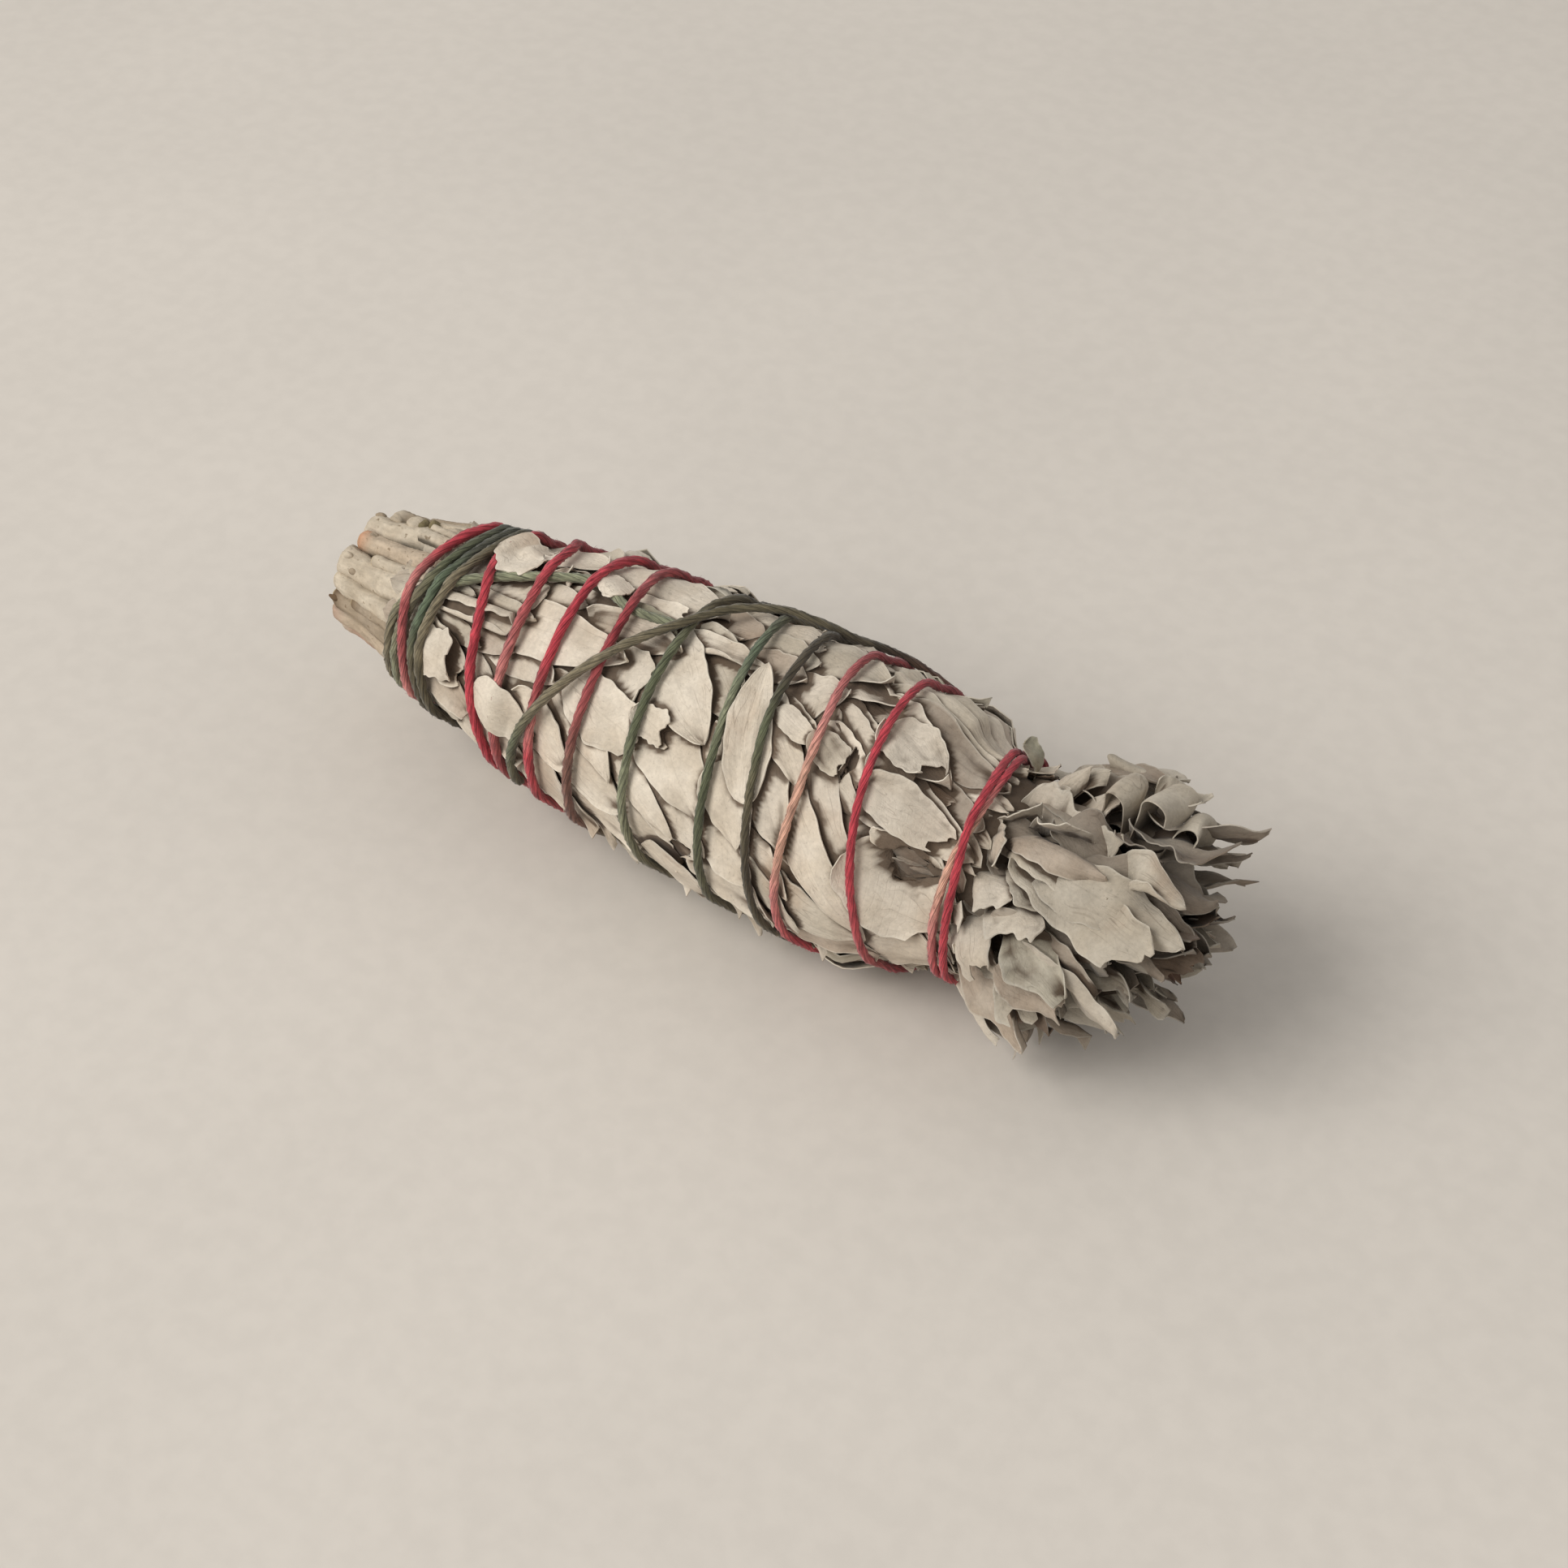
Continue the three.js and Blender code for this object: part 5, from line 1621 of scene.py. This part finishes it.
def makeThreadMaterial():
    material, tree, shader = newMaterial("dyedCotton", 0.9)
    shader.inputs["Sheen Weight"].default_value = thread["sheen"]
    # the thread's dye, with painted shade at the ends of the turns
    dyeAndShade = wire(tree, "ShaderNodeAttribute", attribute_name="threadDyeAndShade").outputs["Color"]
    along, around = uvPlace(tree, "threadUV")
    sheared = calculate(tree, "MULTIPLY_ADD", along, -routeLength[-1] / thread["pitch"], around)
    fibrePlace = joinPlace(tree, times(tree, along, routeLength[-1] * 0.35), times(tree, sheared, 26.0))
    fibres = noise(tree, fibrePlace, 1.0, 3.0)
    clouds = noise(tree, objectPlace(tree), 420.0, 3.0)
    plyTurn = times(tree, sheared, math.pi * thread["plies"])
    plyLine = calculate(tree, "ABSOLUTE", calculate(tree, "COSINE", plyTurn))
    fibreTone = spreadOut(tree, fibres, 0.32, 0.68, 0.55, 1.30)
    cloudTone = spreadOut(tree, clouds, 0.3, 0.7, 0.86, 1.14)
    # painted shade in the grooves between the plies
    plyGrooveShade = spreadOut(tree, plyLine, 0.0, 0.6, 0.50, 1.08)
    colour = shadeBy(tree, dyeAndShade, times(tree, times(tree, fibreTone, cloudTone), plyGrooveShade))
    finishSurface(tree, shader, colour, fibres, thread["bump"], thread["bumpDepth"])
    return material


finishPiece(makeThread(makeThreadMaterial()), "dyed_thread", "binding_thread")
print("thread made")


# Cut stems.
stems = {
    "shownEnd": -71.8,    # the longest ones end here
    "innerEnd": -41.0,
    "sides": 24,
    "steps": 72,
    "under": 0.15,        # depth below the bundle's outline
    "dive": 2.6,          # how much deeper they run once they are under the thread
    "innerShare": 0.85,   # radius of the ones in the middle, as a share of their room
    "middleStep": 0.3,    # how much shorter each of those is than the last
    "hollowLength": 9,
    "hollowSteps": 40,
    # inside an open end, ring by ring: share of the radius, depth
    "lining": ((0.0, 2.4), (0.62, 2.4), (0.68, 0.8), (0.74, 0.02), (0.95, 0.0)),
    "bump": 0.6,
    "bumpDepth": 0.3,
    "grain": 1300.0,
    "patch": srgb(170, 150, 122),
    "cut": srgb(204, 184, 146),
    "bits": srgb(110, 90, 64),
}

# Shown stems: number, angle, cut end, radius, tint at the end, tint of the rest.
shownStems = (
    (7, 4, -70.2, 1.5, "darkBrown", "dusk"), (8, 45, -70.4, 2.25, "straw", "straw"),
    (9, 97, -70.2, 2.35, "straw", "straw"), (10, 140, -70.6, 1.7, "straw", "dusk"),
    (11, 182, -71.6, 1.6, "straw", "straw"), (12, 227, -70.2, 1.7, "pink", "straw"),
    (13, 272, -71.8, 1.8, "straw", "straw"), (14, 320, -71.0, 1.7, "straw", "pink"),
)

# Leaf stalks between the stems: angle, cut end, radius, tint at the end, tint of the rest.
leafStalks = (
    (71, -69.2, 1.6, "peach", "pinkStraw"), (23, -70.2, 1.75, "straw", "straw"),
    (-18, -71.0, 1.75, "pink", "pinkStraw"), (121, -62.5, 1.2, "dusk", "dusk"),
    (161, -69.0, 1.6, "straw", "straw"), (205, -69.5, 1.7, "straw", "dusk"),
    (250, -69.0, 1.6, "dusk", "straw"), (296, -70.0, 1.6, "straw", "straw"),
    (58, -64.5, 0.9, "straw", "straw"), (14, -66.0, 0.8, "darkBrown", "dusk"),
    (110, -59.5, 1.1, "straw", "straw"),
)

# Small hollow stalks with an open end, as angle, station of the open end, radius.
hollowStalks = ((87, -59.4, 1.1), (94, -58.6, 0.8))

# Knobs and dried buds on the stems: angle of the stem, its radius, station, turn on the stem, half length,
# half thickness, tint.
knobs = (
    (97, 2.35, -66.4, 36, 1.2, 0.7, "straw"), (97, 2.35, -62.6, 30, 1.7, 1.15, "straw"),
    (97, 2.35, -61.0, 36, 0.9, 0.9, "olive"), (97, 2.35, -58.9, 40, 0.8, 1.5, "olive"),
    (97, 2.35, -68.9, 15, 1.0, 0.6, "dusk"), (97, 2.35, -64.0, -20, 0.7, 0.35, "dusk"),
    (45, 2.25, -68.8, 20, 1.0, 0.6, "straw"), (45, 2.25, -66.5, -30, 0.9, 0.5, "dusk"),
    (4, 1.5, -69.3, 20, 0.9, 0.5, "darkBrown"), (71, 1.6, -66.5, 30, 0.8, 0.45, "dusk"),
)

stemTints = {
    "straw": srgb(209, 196, 176),
    "pinkStraw": srgb(200, 182, 160),
    "pink": srgb(196, 166, 146),
    "peach": srgb(214, 156, 122),
    "dusk": srgb(168, 152, 132),
    "darkBrown": srgb(104, 82, 60),
    "olive": srgb(104, 98, 66),
}


def makeStemMaterial():
    material, tree, shader = newMaterial("driedStem", 0.85)
    place = objectPlace(tree)
    stretched = wire(tree, "ShaderNodeMapping", {0: place, 3: (0.22, 1.0, 1.0)}).outputs[0]
    streaks = noise(tree, stretched, 1300.0, 5.0)
    patches = spreadOut(tree, noise(tree, place, 190.0, 4.0), 0.35, 0.7, 0.0, 0.35)
    bits = spreadOut(tree, noise(tree, place, 1100.0, 4.0), 0.38, 0.26, 0.0, 0.7)
    tint = wire(tree, "ShaderNodeAttribute", attribute_name="stemTint")
    colour = mixColours(tree, patches, tint.outputs["Color"], stems["patch"])
    colour = shadeBy(tree, colour, spreadOut(tree, streaks, 0.3, 0.7, 0.86, 1.04))
    colour = mixColours(tree, times(tree, tint.outputs["Alpha"], 0.6), colour, stems["cut"])
    colour = mixColours(tree, bits, colour, stems["bits"])
    colour, grain = down(tree, place, stems["grain"], colour)
    height = calculate(tree, "MULTIPLY_ADD", streaks, 1.3, grain)
    finishSurface(tree, shader, colour, height, stems["bump"], stems["bumpDepth"])
    return material


driedStem = makeStemMaterial()


def addStem(mesh, centres, radii, seed, endTint, bodyTint, hollow=False):
    share = np.linspace(0, 1, len(centres))
    turn = np.linspace(0, 2 * math.pi, stems["sides"] + 1)
    ridges = 0.05 * np.cos(3 * turn + seed)[None, :] + 0.03 * np.cos(7 * turn + seed * 2)[None, :]
    knots = sum(0.10 * np.exp(-((share - at) / 0.04) ** 2) for at in (0.06 + 0.02 * math.sin(seed), 0.55))
    lumps = 0.06 * np.sin(share * 17 + seed)[:, None] * np.cos(turn + seed)[None, :]
    lumps = lumps + 0.04 * np.sin(share * 43 + seed * 2)[:, None] * np.cos(2 * turn - seed)[None, :]
    lumps = lumps + np.random.default_rng(int(seed * 10)).uniform(-0.025, 0.025, lumps.shape)
    lumps[:, -1] = lumps[:, 0]
    rings = radii[:, None] * (1 + ridges + knots[:, None] + lumps)
    cut = np.clip(share / 0.035, 0, 1)[:, None]
    rings = rings * np.sqrt(1 - (1 - cut) ** 2.6)
    rings[-1] = 0
    outward = awayFromAxis(centres, 0.01)
    alongBundle = np.array([[1.0, 0.0, 0.0]])
    if hollow:  # the first rings line the inside of the open end
        shares, depths = np.array(stems["lining"]).T
        lined = len(shares)
        rings[:lined] = radii[lined] * shares[:, None]
        centres[:lined] = centres[lined] + depths[:, None] * alongBundle
        cut[:lined] = 0.95
    forward = np.repeat(alongBundle, len(centres), 0)
    tintLayer = mesh.verts.layers.float_color["stemTint"]
    first, rest = np.array(stemTints[endTint][:3]), np.array(stemTints[bodyTint][:3])
    for vert, step, side in wrapTube(mesh, centres, outward, stems["sides"], rings, forward):
        along = float(smoothStep(0.0, 0.13, share[step]))
        # painted shade: the sides of a stem that turn away from the outside of the bundle, towards its
        # neighbours, are drawn darker, and the inside of an open end dark; the rings of the cut end take an
        # even 0.85
        out = float(smoothStep(-0.1, 0.75, math.cos(turn[side])))
        shade = 0.22 + 0.78 * out if cut[step, 0] > 0.9 else 0.85
        if hollow and step < 3:
            shade = 0.18
        vert[tintLayer] = (*(first * (1 - along) + rest * along) * shade, float(cut[step, 0] < 0.4))


def outerStemLine(degrees, cutEnd, radius, seed):  # along the bundle, just under its outline
    station = np.linspace(cutEnd, stems["innerEnd"], stems["steps"] + 1)
    grown = radius * (1 + 0.2 * smoothStep(-70, -54, station))
    distance = smoothTable(bundle["outline"], station) - grown - stems["under"]
    distance = distance - 0.3 * smoothStep(-62, -57, station) - stems["dive"] * smoothStep(-56, -44, station)
    wander = degrees + 1.5 * np.sin(station * 0.25 + seed)
    return onBundle(station, wander, distance), grown


def addKnob(mesh, stemAngle, stemRadius, station, turn, length, thick, tint):
    line, grown = outerStemLine(stemAngle, station, stemRadius, 0)
    way = math.radians(stemAngle + turn)
    centre = line[0] + grown[0] * 0.95 * np.array([0, -math.cos(way), math.sin(way)])
    tintLayer = mesh.verts.layers.float_color["stemTint"]
    made = bmesh.ops.create_icosphere(mesh, subdivisions=3, radius=1, calc_uvs=True)
    for vert in made["verts"]:
        x, y, z = vert.co
        uneven = 1 + 0.14 * math.sin(x * 3 + station) + 0.10 * math.sin(y * 4 + turn)
        uneven += 0.08 * math.sin(z * 5 + turn)
        vert.co = (Vector(centre) + Vector((x * length, y * thick, z * thick)) * uneven) * millimetre
        # painted shade: each knob is drawn darker underneath and lighter on top
        vert[tintLayer] = (*(np.array(stemTints[tint][:3]) * (0.8 + 0.2 * z)), 0.0)


def finishStems(name, mesh, *nodes):
    closeSeams(mesh, 0.005)
    finishPiece(meshObject(name, mesh, driedStem), "cut_stem", *nodes)


def makeStems():
    for number in range(1, 7):  # the ones in the middle run straight
        node = "stem_%02d" % number
        low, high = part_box(node)
        middle = (low + high) / 2 / millimetre
        radius = (high.y - low.y) / 2 / millimetre * stems["innerShare"]
        cutEnd = max(low.x / millimetre, stems["shownEnd"] + stems["middleStep"] * number)
        station = np.linspace(cutEnd, high.x / millimetre, stems["steps"] + 1)
        wander = 0.2 * np.sin(station * 0.3 + number)
        centres = np.stack([station, middle.y + 0 * station, middle.z + wander], -1)
        mesh = startMesh("stemTint", "stemUV")
        addStem(mesh, centres, np.full(len(station), radius), number * 1.3, "straw", "dusk")
        finishStems("stem-%02d-shown" % number, mesh, node)
    for number, degrees, cutEnd, radius, endTint, bodyTint in shownStems:
        mesh = startMesh("stemTint", "stemUV")
        addStem(mesh, *outerStemLine(degrees, cutEnd, radius, number), number * 1.3, endTint, bodyTint)
        finishStems("stem-%02d-shown" % number, mesh, "stem_%02d" % number)
    mesh = startMesh("stemTint", "stemUV")
    for count, (degrees, cutEnd, radius, endTint, bodyTint) in enumerate(leafStalks):
        addStem(mesh, *outerStemLine(degrees, cutEnd, radius, count), count * 1.7, endTint, bodyTint)
    for degrees, openEnd, radius in hollowStalks:
        station = np.linspace(openEnd, openEnd + stems["hollowLength"], stems["hollowSteps"] + 1)
        distance = smoothTable(bundle["outline"], station) + 0.55 - 0.30 * (station - openEnd)
        centres = onBundle(station, degrees, distance)
        addStem(mesh, centres, np.full(len(station), radius), degrees, "straw", "straw", hollow=True)
    for knob in knobs:
        addKnob(mesh, *knob)
    finishStems("leaf-stalks", mesh)


makeStems()
print("stems made")
